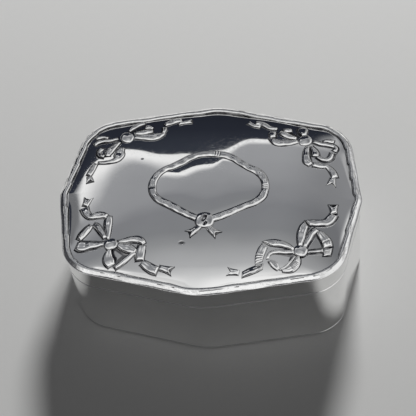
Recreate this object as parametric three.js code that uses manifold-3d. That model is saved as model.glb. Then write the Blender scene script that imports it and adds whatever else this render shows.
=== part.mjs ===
// Silver trinket box: a shaped rectangle with softly pointed sides, and a hinged cushion lid stamped
// with four ribbon bows and a tied ribbon cartouche inside a ribbon border.
// Millimetres, +Z up. The origin is the centre of the underside, and the front faces -Y.
import * as THREE from "three";
import { mergeVertices } from "three/addons/utils/BufferGeometryUtils.js";
import Module from "manifold-3d";

const wasm = await Module();
wasm.setup();

// Plan of the lid, over its border: eight straight runs that meet at eight rounded points. The front
// and side points stand out past the corners.
const lidWidth = 110;
const lidDepth = 86.2;
const frontPointOut = 9.9;
const sidePointOut = 6.2;
const cornerRadius = 15.4;
const frontPointRadius = 28;
const sidePointRadius = 5;
const cornerSteps = 6;
const frontPointSteps = 4;
const sidePointSteps = 2;

// Body: a wall that leans in a little towards its base, and a bezel inside it that locates the lid.
const seamHeight = 27.2;
const wallInset = 1;
const wallLean = 0.35;
const wallThickness = 0.9;
const baseThickness = 0.9;
const baseChamfer = 0.4;
const solderFilm = 0.05;
const bezelThickness = 0.7;
const bezelBelowSeam = 5.5;
const bezelAboveSeam = 3;
const bezelChamfer = 0.25;

// Lid: an upright skirt under a sheet that is flat at its margin and rises to a cushion.
const seamGap = 0.15;
const skirtThickness = 0.65;
const skirtHeight = 8.5;
const plateThickness = 0.6;
const plateInset = 1.1;
const domeRise = 4;
const domePower = 3;
const ringShares = [1, 0.95, 0.89, 0.81, 0.7, 0.55, 0.36, 0.16];
const plateRunSteps = 4;

// Border: a flat ribbon whose edges wave a little. It lies on the plate's margin and hangs over it.
const borderWidth = 3.1;
const borderGroove = 0.3;
const borderSeat = 0.2;
const borderHeight = 0.95;
const borderHollow = 0.2;
const borderRim = 0.7;
const borderRound = 0.25;
const borderWave = 0.22;
const borderWaves = 30;
const borderWaveSteps = 5;

// Stamped ribbon: how far it stands above the plate, and how far its solid reaches into the plate.
const ribbonRelief = 0.75;
const ribbonHollow = 0.3;
const ribbonRoot = 0.3;
const ribbonHollowShare = 0.5;

// Corner bows, one drawn towards +X and +Y and mirrored into the four corners. Their paths are
// shares of the bow's size, from the middle of the knot.
const bowInFromCorner = 15.7;
const bowBackFromCorner = 8.5;
const bowSize = 12;
const bowRibbon = 2;
const bowTail = 2.4;
const bowKnotLength = 5;
const bowKnotWidth = 3.8;
const bowKnotHeight = 1.15;
const bowPathShares = {
  sideTail: [
    [0.03, -0.1], [0.05, -0.27], [0.07, -0.6], [0.15, -0.86], [0.33, -0.99],
    [0.58, -1], [0.77, -1], [0.93, -1.15], [1.02, -1.39], [1.02, -1.59], [0.98, -1.74],
  ],
  sideLoopOut: [[0.1, 0], [0.5, -0.01], [0.86, 0.03]],
  sideLoopBack: [[0.9, 0.08], [0.97, -0.14], [0.92, -0.33], [0.79, -0.53], [0.62, -0.72]],
  sideLoopIn: [[0.61, -0.75], [0.43, -0.63], [0.31, -0.41], [0.13, -0.11]],
  frontTail: [
    [-0.1, -0.03], [-0.5, -0.13], [-0.8, -0.13], [-1, -0.04], [-1.08, 0.16], [-1.08, 0.36], [-1.06, 0.53],
  ],
  frontTailEnd: [[-1.02, 0.52], [-1.26, 0.64], [-1.49, 0.78], [-1.72, 0.83], [-1.95, 0.81]],
  frontLoopOut: [[0.01, 0.11], [0.05, 0.36], [-0.04, 0.52], [-0.2, 0.62]],
  frontLoopBack: [[-0.19, 0.635], [-0.42, 0.6], [-0.57, 0.47], [-0.74, 0.28]],
  frontLoopIn: [[-0.76, 0.25], [-0.55, 0.16], [-0.3, 0.11], [-0.1, 0.05]],
};
const bowSteps = 2;
const forkDepthShare = 0.6;
const forkMouthShare = 0.8;

// Cartouche: its right half as shares of its half width and half depth, from back to front.
const cartoucheHalfWidth = 20.4;
const cartoucheHalfDepth = 15.1;
const cartoucheBackward = 1.8;
const cartoucheRibbon = 2.5;
const cartoucheSteps = 44;
const cartoucheShares = [
  [0, 1], [0.2, 0.973], [0.38, 0.874], [0.54, 0.71], [0.69, 0.58], [0.84, 0.47], [0.95, 0.29], [1, 0.06],
  [0.985, -0.16], [0.94, -0.3], [0.84, -0.44], [0.66, -0.57], [0.46, -0.73], [0.25, -0.88], [0, -1],
];
const cartoucheKnotLength = 6.4;
const cartoucheKnotWidth = 5.2;
const cartoucheKnotHeight = 1.35;
const cartoucheEyeLength = 1.3;
const cartoucheEyeWidth = 2.2;
const cartoucheEyeDepth = 0.7;
const cartoucheTailOut = 5.8;
const cartoucheTailForward = 6.9;
const cartoucheTailRibbon = 2.1;
const tailBowShare = 0.6;

// Hinge: five knuckles on one pin, between two bearers at the back of the wall and of the skirt.
const hingeLength = 24;
const knuckleCount = 5;
const knuckleGap = 0.1;
const knuckleRadius = 1.25;
const knuckleBore = 0.72;
const pinRadius = 0.62;
const pinOverhang = 0.3;
const troughClearance = 0.15;
const hingeStandoff = 0.3;
const bearerHeight = 2.7;
const hingeOpenAngle = THREE.MathUtils.degToRad(105);
const hingeStopSlack = THREE.MathUtils.degToRad(1.5);
const roundSteps = 20;
const knotSteps = 12;
const knotRings = 8;
const cutOverrun = 1;
const weld = 0.01;

// Heights and places that follow from the sizes above.
const cornerOut = lidWidth / 2 - sidePointOut;
const cornerForward = lidDepth / 2 - frontPointOut;
const bowOut = cornerOut - bowInFromCorner;
const bowForward = cornerForward - bowBackFromCorner;
const skirtTop = seamHeight + skirtHeight;
const flangeTop = skirtTop + plateThickness;
const hingeY = lidDepth / 2 - wallInset + hingeStandoff;
const bezelInset = wallInset + wallThickness + wallLean * (bezelBelowSeam / seamHeight) + solderFilm;
const quarterTurn = Math.PI / 2;

// A closed mesh as a solid, and back.
function toSolid(geometry) {
  const bare = new THREE.BufferGeometry().setAttribute("position", geometry.getAttribute("position"));
  bare.setIndex(geometry.index);
  const merged = mergeVertices(bare);
  return new wasm.Manifold(
    new wasm.Mesh({
      numProp: 3,
      vertProperties: new Float32Array(merged.attributes.position.array),
      triVerts: new Uint32Array(merged.index.array),
    }),
  );
}

function toGeometry(solid) {
  const mesh = solid.getMesh();
  const geometry = new THREE.BufferGeometry();
  geometry.setAttribute("position", new THREE.BufferAttribute(mesh.vertProperties, mesh.numProp));
  geometry.setIndex(new THREE.BufferAttribute(mesh.triVerts, 1));
  geometry.computeVertexNormals();
  return geometry;
}

// Skins a row of rings that have as many points each. Each ring turns anticlockwise about the way the
// row goes. A loop joins its last ring to its first; otherwise both ends are closed by a fan.
function loft(rings, loop = false) {
  const count = rings[0].length;
  const points = rings.flat();
  const index = [];
  const last = loop ? rings.length : rings.length - 1;
  for (let i = 0; i < last; i += 1) {
    const next = (i + 1) % rings.length;
    for (let j = 0; j < count; j += 1) {
      const k = (j + 1) % count;
      const [a, b, c, d] = [i * count + j, i * count + k, next * count + k, next * count + j];
      index.push(a, b, c, a, c, d);
    }
  }
  if (!loop) {
    const end = (rings.length - 1) * count;
    for (let j = 1; j < count - 1; j += 1) {
      index.push(0, j + 1, j, end, end + j, end + j + 1);
    }
  }
  const geometry = new THREE.BufferGeometry().setFromPoints(points);
  geometry.setIndex(index);
  return geometry;
}

// The lid's plan moved inwards by an inset, anticlockwise from the front point. Each straight run
// gets extra points where a surface over it bends.
function planOutline(inset, runSteps = 1) {
  const front = { at: [0, -lidDepth / 2], radius: frontPointRadius, steps: frontPointSteps };
  const side = { at: [lidWidth / 2, 0], radius: sidePointRadius, steps: sidePointSteps };
  const corner = { at: [cornerOut, -cornerForward], radius: cornerRadius, steps: cornerSteps };
  const turned = (p, x, y) => ({ ...p, at: [p.at[0] * x, p.at[1] * y] });
  const places = [
    front, corner, side, turned(corner, 1, -1),
    turned(front, 1, -1), turned(corner, -1, -1), turned(side, -1, 1), turned(corner, -1, 1),
  ];
  const corners = places.map((p) => new THREE.Vector2(...p.at));
  const moved = corners.map((p, i) => {
    const before = p.clone().sub(corners.at(i - 1)).normalize();
    const after = corners[(i + 1) % corners.length].clone().sub(p).normalize();
    const inwards = new THREE.Vector2(-before.y - after.y, before.x + after.x).normalize();
    const halfTurn = before.angleTo(after) / 2;
    return p.clone().addScaledVector(inwards, inset / Math.cos(halfTurn));
  });
  const points = [];
  moved.forEach((p, i) => {
    const before = p.clone().sub(moved.at(i - 1)).normalize();
    const after = moved[(i + 1) % moved.length].clone().sub(p).normalize();
    const turn = before.angleTo(after);
    const radius = places[i].radius - inset;
    const start = p.clone().addScaledVector(before, -radius * Math.tan(turn / 2));
    const centre = start.clone().add(new THREE.Vector2(-before.y, before.x).multiplyScalar(radius));
    if (points.length && runSteps > 1) {
      const from = points.at(-1);
      for (let s = 1; s < runSteps; s += 1) points.push(from.clone().lerp(start, s / runSteps));
    }
    for (let s = 0; s <= places[i].steps; s += 1) {
      const angle = (turn * s) / places[i].steps;
      points.push(start.clone().rotateAround(centre, angle));
    }
  });
  const from = points.at(-1).clone();
  const to = points[0].clone();
  for (let s = 1; s < runSteps; s += 1) points.push(from.clone().lerp(to, s / runSteps));
  return points;
}

const atHeight = (outline, z) => outline.map((p) => new THREE.Vector3(p.x, p.y, z));
const scaled = (outline, share) => outline.map((p) => p.clone().multiplyScalar(share));

// A band of one thickness between two heights, whose outer face goes from one inset to another. A
// chamfer takes off its outer top edge.
function band(lowInset, highInset, thickness, bottom, top, chamfer = 0) {
  const rings = [
    atHeight(planOutline(lowInset + thickness), bottom),
    atHeight(planOutline(lowInset), bottom),
    atHeight(planOutline(highInset), top - chamfer),
    atHeight(planOutline(highInset + thickness), top),
  ];
  if (chamfer) rings.splice(-1, 0, atHeight(planOutline(highInset + chamfer), top));
  return loft(rings, true);
}

// How far the cushion's edge lies from the middle in a direction, and the cushion's height.
const cushionEdge = planOutline(borderWidth + borderGroove, plateRunSteps);

function reach(direction) {
  let found = 0;
  cushionEdge.forEach((a, i) => {
    const b = cushionEdge[(i + 1) % cushionEdge.length];
    const along = b.clone().sub(a);
    const facing = direction.cross(along);
    const distance = a.cross(along) / facing;
    const share = a.cross(direction) / facing;
    const crossed = share >= -Number.EPSILON && share <= 1 + Number.EPSILON;
    if (facing > 0 && crossed) found = Math.max(found, distance);
  });
  return found;
}

const cushionHeight = (share) => flangeTop + domeRise * (1 - Math.min(share, 1) ** domePower);

function plateTop(x, y) {
  const place = new THREE.Vector2(x, y);
  const length = place.length();
  if (length === 0) return cushionHeight(0);
  return cushionHeight(length / reach(place.clone().normalize()));
}

// A ribbon laid on the cushion along a path in plan: raised edges, a hollow middle and square ends.
// A forked end is cut to a swallow tail.
function ribbon(path, width, steps, { closed = false, fork = false } = {}) {
  const flat = path.map((p) => new THREE.Vector3(p.x, p.y, 0));
  const curve = new THREE.CatmullRomCurve3(flat, closed, "centripetal");
  const rows = closed ? steps : steps + 1;
  const half = width / 2;
  const hollowHalf = half * ribbonHollowShare;
  const hollow = ribbonRelief - ribbonHollow;
  const section = [
    [half, -ribbonRoot], [half, ribbonRelief], [hollowHalf, hollow],
    [-hollowHalf, hollow], [-half, ribbonRelief], [-half, -ribbonRoot],
  ];
  const rings = [];
  for (let i = 0; i < rows; i += 1) {
    const at = curve.getPointAt(i / steps);
    const way = curve.getTangentAt(i / steps);
    const left = new THREE.Vector3(-way.y, way.x, 0);
    rings.push(section.map(([side, height]) => {
      const p = at.clone().addScaledVector(left, side);
      return p.setZ(plateTop(p.x, p.y) + height);
    }));
  }
  const solid = toSolid(loft(rings, closed));
  return fork ? solid.subtract(forkCut(curve, width)) : solid;
}

// The notch of a swallow tail, as a wedge that points back along the ribbon.
function forkCut(curve, width) {
  const end = curve.getPointAt(1);
  const way = curve.getTangentAt(1);
  const left = new THREE.Vector3(-way.y, way.x, 0);
  const depth = width * forkDepthShare;
  const half = width * forkMouthShare;
  const wedge = [
    end.clone().addScaledVector(way, -depth),
    end.clone().addScaledVector(way, depth).addScaledVector(left, -half),
    end.clone().addScaledVector(way, depth).addScaledVector(left, half),
  ];
  const low = flangeTop - ribbonRoot - cutOverrun;
  const high = flangeTop + domeRise + ribbonRelief + cutOverrun;
  return toSolid(loft([low, high].map((z) => wedge.map((p) => p.clone().setZ(z)))));
}

// A flattened ball about a point of the cushion, raised or sunk by a lift.
function ball(x, y, length, width, height, turn = 0, lift = 0) {
  const sphere = new THREE.SphereGeometry(1, knotSteps, knotRings);
  sphere.rotateX(Math.PI / 2);
  sphere.scale(length / 2, width / 2, height);
  sphere.rotateZ(turn);
  sphere.translate(x, y, plateTop(x, y) + lift);
  return toSolid(sphere);
}

// A wrapped knot: a flattened ball that stands on the cushion and is rooted in the plate.
function knot(x, y, length, width, height, turn) {
  return ball(x, y, length, width, height, turn).trimByPlane([0, 0, 1], plateTop(x, y) - ribbonRoot);
}

// One corner bow: two triangular loops and two trailing ends about a knot.
function bow(xSign, ySign) {
  const place = ([u, v]) => new THREE.Vector2(
    xSign * (bowOut + u * bowSize),
    ySign * (bowForward + v * bowSize),
  );
  const solids = Object.entries(bowPathShares).map(([name, shares]) => {
    const tail = name.includes("Tail");
    const fork = name === "sideTail" || name === "frontTailEnd";
    const steps = (shares.length - 1) * bowSteps;
    return ribbon(shares.map(place), tail ? bowTail : bowRibbon, steps, { fork });
  });
  const turn = (-xSign * ySign * quarterTurn) / 2;
  solids.push(knot(xSign * bowOut, ySign * bowForward, bowKnotLength, bowKnotWidth, bowKnotHeight, turn));
  return solids;
}

// The ribbon cartouche, its knot at the front and the two short ends under it.
function cartouche() {
  const place = ([u, v], sign) => new THREE.Vector2(
    sign * u * cartoucheHalfWidth,
    v * cartoucheHalfDepth + cartoucheBackward,
  );
  const right = cartoucheShares.map((p) => place(p, 1));
  const left = cartoucheShares.slice(1, -1).map((p) => place(p, -1));
  const loop = [...right, ...left.reverse()].reverse();
  const knotY = cartoucheBackward - cartoucheHalfDepth;
  const solids = [ribbon(loop, cartoucheRibbon, cartoucheSteps, { closed: true })];
  for (const sign of [-1, 1]) {
    const path = [
      new THREE.Vector2(0, knotY),
      new THREE.Vector2(sign * cartoucheTailOut * tailBowShare, knotY - cartoucheTailForward * tailBowShare),
      new THREE.Vector2(sign * cartoucheTailOut, knotY - cartoucheTailForward),
    ];
    solids.push(ribbon(path, cartoucheTailRibbon, bowSteps, { fork: true }));
  }
  const tie = knot(0, knotY, cartoucheKnotLength, cartoucheKnotWidth, cartoucheKnotHeight, 0);
  const eye = ball(
    0,
    knotY,
    cartoucheEyeLength,
    cartoucheEyeWidth,
    cartoucheEyeDepth,
    0,
    cartoucheKnotHeight,
  );
  solids.push(tie.subtract(eye));
  return solids;
}

// The stamped top: a flat margin, a cushion, and the ribbons raised from the same sheet.
function lidPlate() {
  const margin = planOutline(plateInset, plateRunSteps);
  const ring = (share, drop) => atHeight(scaled(cushionEdge, share), cushionHeight(share) - drop);
  const under = ringShares.map((share) => ring(share, plateThickness));
  const over = ringShares.map((share) => ring(share, 0));
  const sheet = toSolid(loft([
    ...under.reverse(),
    atHeight(margin, flangeTop - plateThickness),
    atHeight(margin, flangeTop),
    ...over,
  ]));
  const corners = [[1, 1], [1, -1], [-1, 1], [-1, -1]];
  const raised = [...corners.flatMap(([x, y]) => bow(x, y)), ...cartouche()];
  return toGeometry(raised.reduce((whole, piece) => whole.add(piece), sheet).asOriginal().simplify(weld));
}

// Points at even steps along a closed outline.
function evenly(outline, count) {
  const lengths = [0];
  outline.forEach((p, i) => {
    lengths.push(lengths.at(-1) + p.distanceTo(outline[(i + 1) % outline.length]));
  });
  const points = [];
  let run = 0;
  for (let i = 0; i < count; i += 1) {
    const along = (lengths.at(-1) * i) / count;
    while (lengths[run + 1] <= along) run += 1;
    const share = (along - lengths[run]) / (lengths[run + 1] - lengths[run]);
    points.push(outline[run].clone().lerp(outline[(run + 1) % outline.length], share));
  }
  return points;
}

// The border: a ribbon with two raised rims, laid on the margin and turned down over its edge. Both
// of its edges wave towards its middle.
function lidBorder() {
  const low = skirtTop + solderFilm;
  const foot = flangeTop + solderFilm;
  const top = foot + borderHeight;
  const lip = plateInset - borderSeat;
  const farRim = borderWidth - borderRim;
  const section = [
    { inset: borderWidth, z: foot, wave: borderWave },
    { inset: lip, z: foot, wave: 0 },
    { inset: lip, z: low, wave: 0 },
    { inset: 0, z: low, wave: borderWave },
    { inset: 0, z: top - borderRound, wave: borderWave },
    { inset: borderRound, z: top, wave: borderWave },
    { inset: borderRim, z: top, wave: 0 },
    { inset: borderWidth / 2, z: top - borderHollow, wave: 0 },
    { inset: farRim, z: top, wave: 0 },
    { inset: borderWidth - borderRound, z: top, wave: borderWave },
    { inset: borderWidth, z: top - borderRound, wave: borderWave },
  ];
  const count = borderWaves * borderWaveSteps;
  const middle = evenly(planOutline(borderWidth / 2), count);
  const rings = section.map(({ inset, z, wave }) => {
    const edge = evenly(planOutline(inset), count);
    const waved = edge.map((p, i) => {
      const swing = (1 - Math.cos((2 * Math.PI * borderWaves * i) / count)) / 2;
      const inwards = middle[i].clone().sub(p);
      return wave ? p.addScaledVector(inwards.normalize(), wave * swing) : p;
    });
    return atHeight(waved, z);
  });
  return loft(rings, true);
}

// A round bar or tube along X, centred on the hinge's axis.
function barrel(radius, from, to) {
  const bar = new THREE.CylinderGeometry(radius, radius, to - from, roundSteps);
  bar.rotateZ(Math.PI / 2);
  bar.translate((from + to) / 2, hingeY, seamHeight);
  return toSolid(bar);
}

const knucklePitch = hingeLength / knuckleCount;
const knuckleStart = (number) => knucklePitch * number - hingeLength / 2;
const onBody = (number) => number % 2 === 0;

function knuckle(number) {
  const from = knuckleStart(number) + knuckleGap / 2;
  const to = knuckleStart(number + 1) - knuckleGap / 2;
  const bore = barrel(knuckleBore, from - cutOverrun, to + cutOverrun);
  return toGeometry(barrel(knuckleRadius, from, to).subtract(bore));
}

function hingePin() {
  const half = hingeLength / 2 + pinOverhang;
  return toGeometry(barrel(pinRadius, -half, half));
}

// The round trough that a wall and a bearer leave for the knuckles: close to the ones they carry,
// and clear of the others, which turn in it.
function trough(ofBody) {
  const reachOut = hingeLength / 2 + cutOverrun;
  const cuts = [barrel(knuckleRadius + solderFilm, -reachOut, reachOut)];
  for (let number = 0; number < knuckleCount; number += 1) {
    if (onBody(number) !== ofBody) {
      cuts.push(barrel(knuckleRadius + troughClearance, knuckleStart(number), knuckleStart(number + 1)));
    }
  }
  return cuts.reduce((whole, cut) => whole.add(cut));
}

// A bearer fills the space between the shaped wall and the straight knuckles, on one side of the
// seam. The lid stops where the outer edges of the two bearers' troughs meet.
function bearer(ofBody, bottom, top) {
  const edge = (knuckleRadius + solderFilm) * Math.cos((hingeOpenAngle + hingeStopSlack) / 2);
  const outer = hingeY + edge;
  const block = new THREE.BoxGeometry(hingeLength, outer - cornerForward, top - bottom);
  block.translate(0, (outer + cornerForward) / 2, (bottom + top) / 2);
  const fill = new THREE.ExtrudeGeometry(
    new THREE.Shape(planOutline(wallInset - solderFilm)),
    { depth: top - bottom + 2 * cutOverrun, bevelEnabled: false },
  );
  fill.translate(0, 0, bottom - cutOverrun);
  const solid = toSolid(block).subtract(toSolid(fill)).subtract(trough(ofBody));
  return toGeometry(solid.asOriginal().simplify(weld));
}

function basePlate() {
  const edge = wallInset + wallLean;
  const rings = [
    atHeight(planOutline(edge + baseChamfer), 0),
    atHeight(planOutline(edge), baseChamfer),
    atHeight(planOutline(edge), baseThickness),
  ];
  return loft(rings);
}

function bodyWall() {
  const foot = baseThickness + solderFilm;
  const wall = band(wallInset + wallLean, wallInset, wallThickness, foot, seamHeight);
  return toGeometry(toSolid(wall).subtract(trough(true)));
}

function bodyBezel() {
  const foot = seamHeight - bezelBelowSeam;
  return band(bezelInset, bezelInset, bezelThickness, foot, seamHeight + bezelAboveSeam, bezelChamfer);
}

function lidSkirt() {
  const skirt = band(wallInset, wallInset, skirtThickness, seamHeight + seamGap, skirtTop - solderFilm);
  return toGeometry(toSolid(skirt).subtract(trough(false)));
}

const silver = () => new THREE.MeshStandardMaterial({ color: 0xd9dadb, roughness: 0.14, metalness: 1 });
const silverInside = () => new THREE.MeshStandardMaterial({ color: 0xcfcfce, roughness: 0.34, metalness: 1 });
const steel = () => new THREE.MeshStandardMaterial({ color: 0xb9bbbf, roughness: 0.3, metalness: 1 });

function piece(name, geometry, material) {
  const mesh = new THREE.Mesh(geometry, material);
  mesh.name = name;
  return mesh;
}

const body = new THREE.Group();
body.add(
  piece("base_plate", basePlate(), silver()),
  piece("body_wall", bodyWall(), silver()),
  piece("body_bezel", bodyBezel(), silverInside()),
  piece("body_hinge_bearer", bearer(true, seamHeight - bearerHeight, seamHeight), silver()),
  piece("hinge_pin", hingePin(), steel()),
);

const lidFoot = seamHeight + seamGap;
const lid = new THREE.Group();
lid.add(
  piece("lid_plate", lidPlate(), silver()),
  piece("lid_border", lidBorder(), silver()),
  piece("lid_skirt", lidSkirt(), silver()),
  piece("lid_hinge_bearer", bearer(false, lidFoot, lidFoot + bearerHeight), silver()),
);

// Knuckles in turn, starting with one of the body's at the left end.
for (let number = 0; number < knuckleCount; number += 1) {
  const name = `${onBody(number) ? "body" : "lid"}_knuckle_${number + 1}`;
  (onBody(number) ? body : lid).add(piece(name, knuckle(number), silver()));
}

const box = new THREE.Group();
box.add(body, lid);

export default box;
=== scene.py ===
import math

import bmesh
import bpy
from bpy.props import FloatProperty, FloatVectorProperty, IntProperty, PointerProperty
from mathutils import Matrix, Vector


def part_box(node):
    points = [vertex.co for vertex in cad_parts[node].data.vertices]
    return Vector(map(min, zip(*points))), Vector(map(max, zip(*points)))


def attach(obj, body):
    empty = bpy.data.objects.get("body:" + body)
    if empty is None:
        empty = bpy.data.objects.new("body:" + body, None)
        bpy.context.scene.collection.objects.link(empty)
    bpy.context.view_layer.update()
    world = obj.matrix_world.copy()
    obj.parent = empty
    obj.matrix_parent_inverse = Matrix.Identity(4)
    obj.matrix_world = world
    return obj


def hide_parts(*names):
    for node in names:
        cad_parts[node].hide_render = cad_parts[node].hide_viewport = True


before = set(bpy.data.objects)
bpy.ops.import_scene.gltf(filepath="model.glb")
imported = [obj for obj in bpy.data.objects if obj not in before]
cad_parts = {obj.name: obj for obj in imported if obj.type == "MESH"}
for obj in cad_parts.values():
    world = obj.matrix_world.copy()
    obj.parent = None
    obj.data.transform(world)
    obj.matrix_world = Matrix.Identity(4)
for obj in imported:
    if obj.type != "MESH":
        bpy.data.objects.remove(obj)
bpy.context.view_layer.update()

bl_info = {
    "name": "Silver trinket box",
    "version": (1, 0, 0),
    "blender": (4, 5, 0),
    "location": "3D View > Sidebar > Trinket box",
    "description": "Dresses a hinged silver trinket box with a ribbon border, four bows and a cartouche",
    "category": "Object",
}

BASE_LOW, BASE_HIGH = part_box("base_plate")
WALL_LOW, WALL_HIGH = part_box("body_wall")
BEZEL_LOW, BEZEL_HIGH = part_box("body_bezel")
SKIRT_LOW, SKIRT_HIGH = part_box("lid_skirt")
BORDER_LOW, BORDER_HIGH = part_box("lid_border")
PIN_LOW, PIN_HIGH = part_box("hinge_pin")
PIN_Y, PIN_Z = (PIN_LOW.y + PIN_HIGH.y) / 2, (PIN_LOW.z + PIN_HIGH.z) / 2


def length(name, description, default):
    """A size in metres."""
    return FloatProperty(name=name, description=description, default=default, unit="LENGTH", precision=5)


def share(name, description, default):
    """A plain number between zero and one."""
    return FloatProperty(name=name, description=description, default=default, min=0.0, max=1.0)


def colour(name, description, default):
    """A colour without alpha."""
    return FloatVectorProperty(
        name=name, description=description, default=default, subtype="COLOR", size=3, min=0.0, max=1.0
    )


class TRINKET_PG_plan(bpy.types.PropertyGroup):
    """The plan that the lid, the walls and the base share."""

    width: length("Width", "Width of the lid over its side points", 0.110)
    depth: length("Depth", "Depth of the lid over its front and back points", 0.0862)
    front_point_out: length("Front point", "How far the front and back points pass the corners", 0.0099)
    side_point_out: length("Side point", "How far the side points pass the corners", 0.0062)
    corner_radius: length("Corner radius", "Rounding of the four corners", 0.0154)
    front_point_radius: length("Front point radius", "Rounding of the front and back points", 0.028)
    side_point_radius: length("Side point radius", "Rounding of the side points", 0.005)


class TRINKET_PG_body(bpy.types.PropertyGroup):
    """The lower half."""

    wall_inset: length("Wall inset", "How far the wall stands in from the lid's border", 0.001)
    wall_lean: length("Wall lean", "How far the wall leans in at its foot", 0.00035)
    wall_thickness: length("Wall thickness", "Sheet thickness of the wall", 0.0009)
    bezel_thickness: length("Bezel thickness", "Sheet thickness of the locating bezel", 0.0007)
    edge: length("Edge", "Small rounding on sheet edges", 0.00018)
    chamfer: length("Base chamfer", "Chamfer under the base", 0.0004)


class TRINKET_PG_lid(bpy.types.PropertyGroup):
    """The lid's sheet and border."""

    skirt_thickness: length("Skirt thickness", "Sheet thickness of the lid's skirt", 0.00065)
    sheet: length("Sheet", "Thickness of the stamped top", 0.0006)
    flat_top: length("Margin height", "Height of the flat margin of the top", 0.0363)
    margin_inset: length("Margin inset", "How far the sheet's edge stands in from the border", 0.0011)
    cushion_inset: length("Cushion inset", "Where the cushion starts, in from the border's edge", 0.0029)
    cushion_rise: length("Cushion rise", "Rise of the cushion over its margin", 0.004)
    roundness: FloatProperty(
        name="Roundness", description="How square the cushion's inner level lines are",
        default=2.8, min=2.0, max=6.0,
    )
    reserve_rise: length("Reserve rise", "Extra rise of the sheet inside the cartouche", 0.00048)
    border_width: length("Border width", "Width of the ribbon border", 0.0031)
    border_wave: length("Border wave", "How far the border's inner edge wanders", 0.00055)


class TRINKET_PG_ribbons(bpy.types.PropertyGroup):
    """The stamped ribbon work."""

    bow_out: length("Bow out", "From the middle of the lid to a bow's knot, sideways", 0.0331)
    bow_forward: length("Bow forward", "From the middle of the lid to a bow's knot, forwards", 0.0247)
    bow_size: length("Bow size", "Unit length of a bow's ribbons", 0.012)
    relief: length("Relief", "How far a ribbon stands above the sheet", 0.0008)
    root: length("Root", "How far a ribbon reaches into the sheet", 0.0003)
    # The brim is a painted dark line, painted shade and patina at a ribbon's foot, not a cut groove.
    brim: length("Brim", "Width of the dark line chased along a ribbon", 0.00026)
    flute: length("Flute", "Depth of the fine flutes along a ribbon", 0.00002)
    step: length("Step", "How closely a ribbon is followed", 0.00022)
    ripple: share("Ripple", "How far a ribbon's height ripples, as a share of it", 0.09)
    fullness: FloatProperty(
        name="Fullness", description="Widening of the bows' ribbons over their drawn width",
        default=1.12, min=0.5, max=2.0,
    )
    level: share("Level", "How far a ribbon lies level where the sheet slopes", 0.75)
    cartouche_out: length("Cartouche half width", "Half width of the tied cartouche", 0.0204)
    cartouche_forward: length("Cartouche half depth", "Half depth of the tied cartouche", 0.0151)
    cartouche_back: length("Cartouche offset", "How far its middle lies behind the lid's", 0.0018)
    cartouche_ribbon: length("Cartouche ribbon", "Width of the cartouche's ribbon", 0.0029)


class TRINKET_PG_hinge(bpy.types.PropertyGroup):
    """The hinge at the back."""

    radius: length("Knuckle radius", "Outer radius of the knuckles", 0.00125)
    bore: length("Knuckle bore", "Radius of the knuckles' bore", 0.00072)
    pin: length("Pin radius", "Radius of the hinge pin", 0.00062)
    clearance: length("Clearance", "Air between the knuckles and the trough", 0.00015)
    steps: IntProperty(name="Steps", description="Points round a knuckle", default=48, min=12, max=96)


class TRINKET_PG_finish(bpy.types.PropertyGroup):
    """Colours of the metal."""

    silver: colour("Silver", "Polished silver", (0.93, 0.93, 0.925))
    inner_silver: colour("Inner silver", "Softer silver inside", (0.86, 0.855, 0.84))
    # The patina colour stands for patina and for painted shade: the dark lines, creases and shadows painted
    # round ribbons, knots and border.
    patina_and_shade: colour("Tarnish", "Dark tarnish left in the hollows", (0.035, 0.035, 0.042))
    steel: colour("Steel", "Steel of the pin", (0.56, 0.57, 0.58))


class TRINKET_PG_stage(bpy.types.PropertyGroup):
    """Floor, light and camera."""

    floor: colour("Floor", "Colour of the plain floor", (0.66, 0.66, 0.65))
    floor_size: length("Floor size", "Width of the floor", 6.0)
    lamp_distance: length("Lamp distance", "How far the soft lamp stands from the box", 1.3)
    lamp_size: length("Lamp size", "Width of the soft lamp", 0.3)


GROUPS = {
    "trinket_plan": TRINKET_PG_plan,
    "trinket_body": TRINKET_PG_body,
    "trinket_lid": TRINKET_PG_lid,
    "trinket_ribbons": TRINKET_PG_ribbons,
    "trinket_hinge": TRINKET_PG_hinge,
    "trinket_finish": TRINKET_PG_finish,
    "trinket_stage": TRINKET_PG_stage,
}

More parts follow.
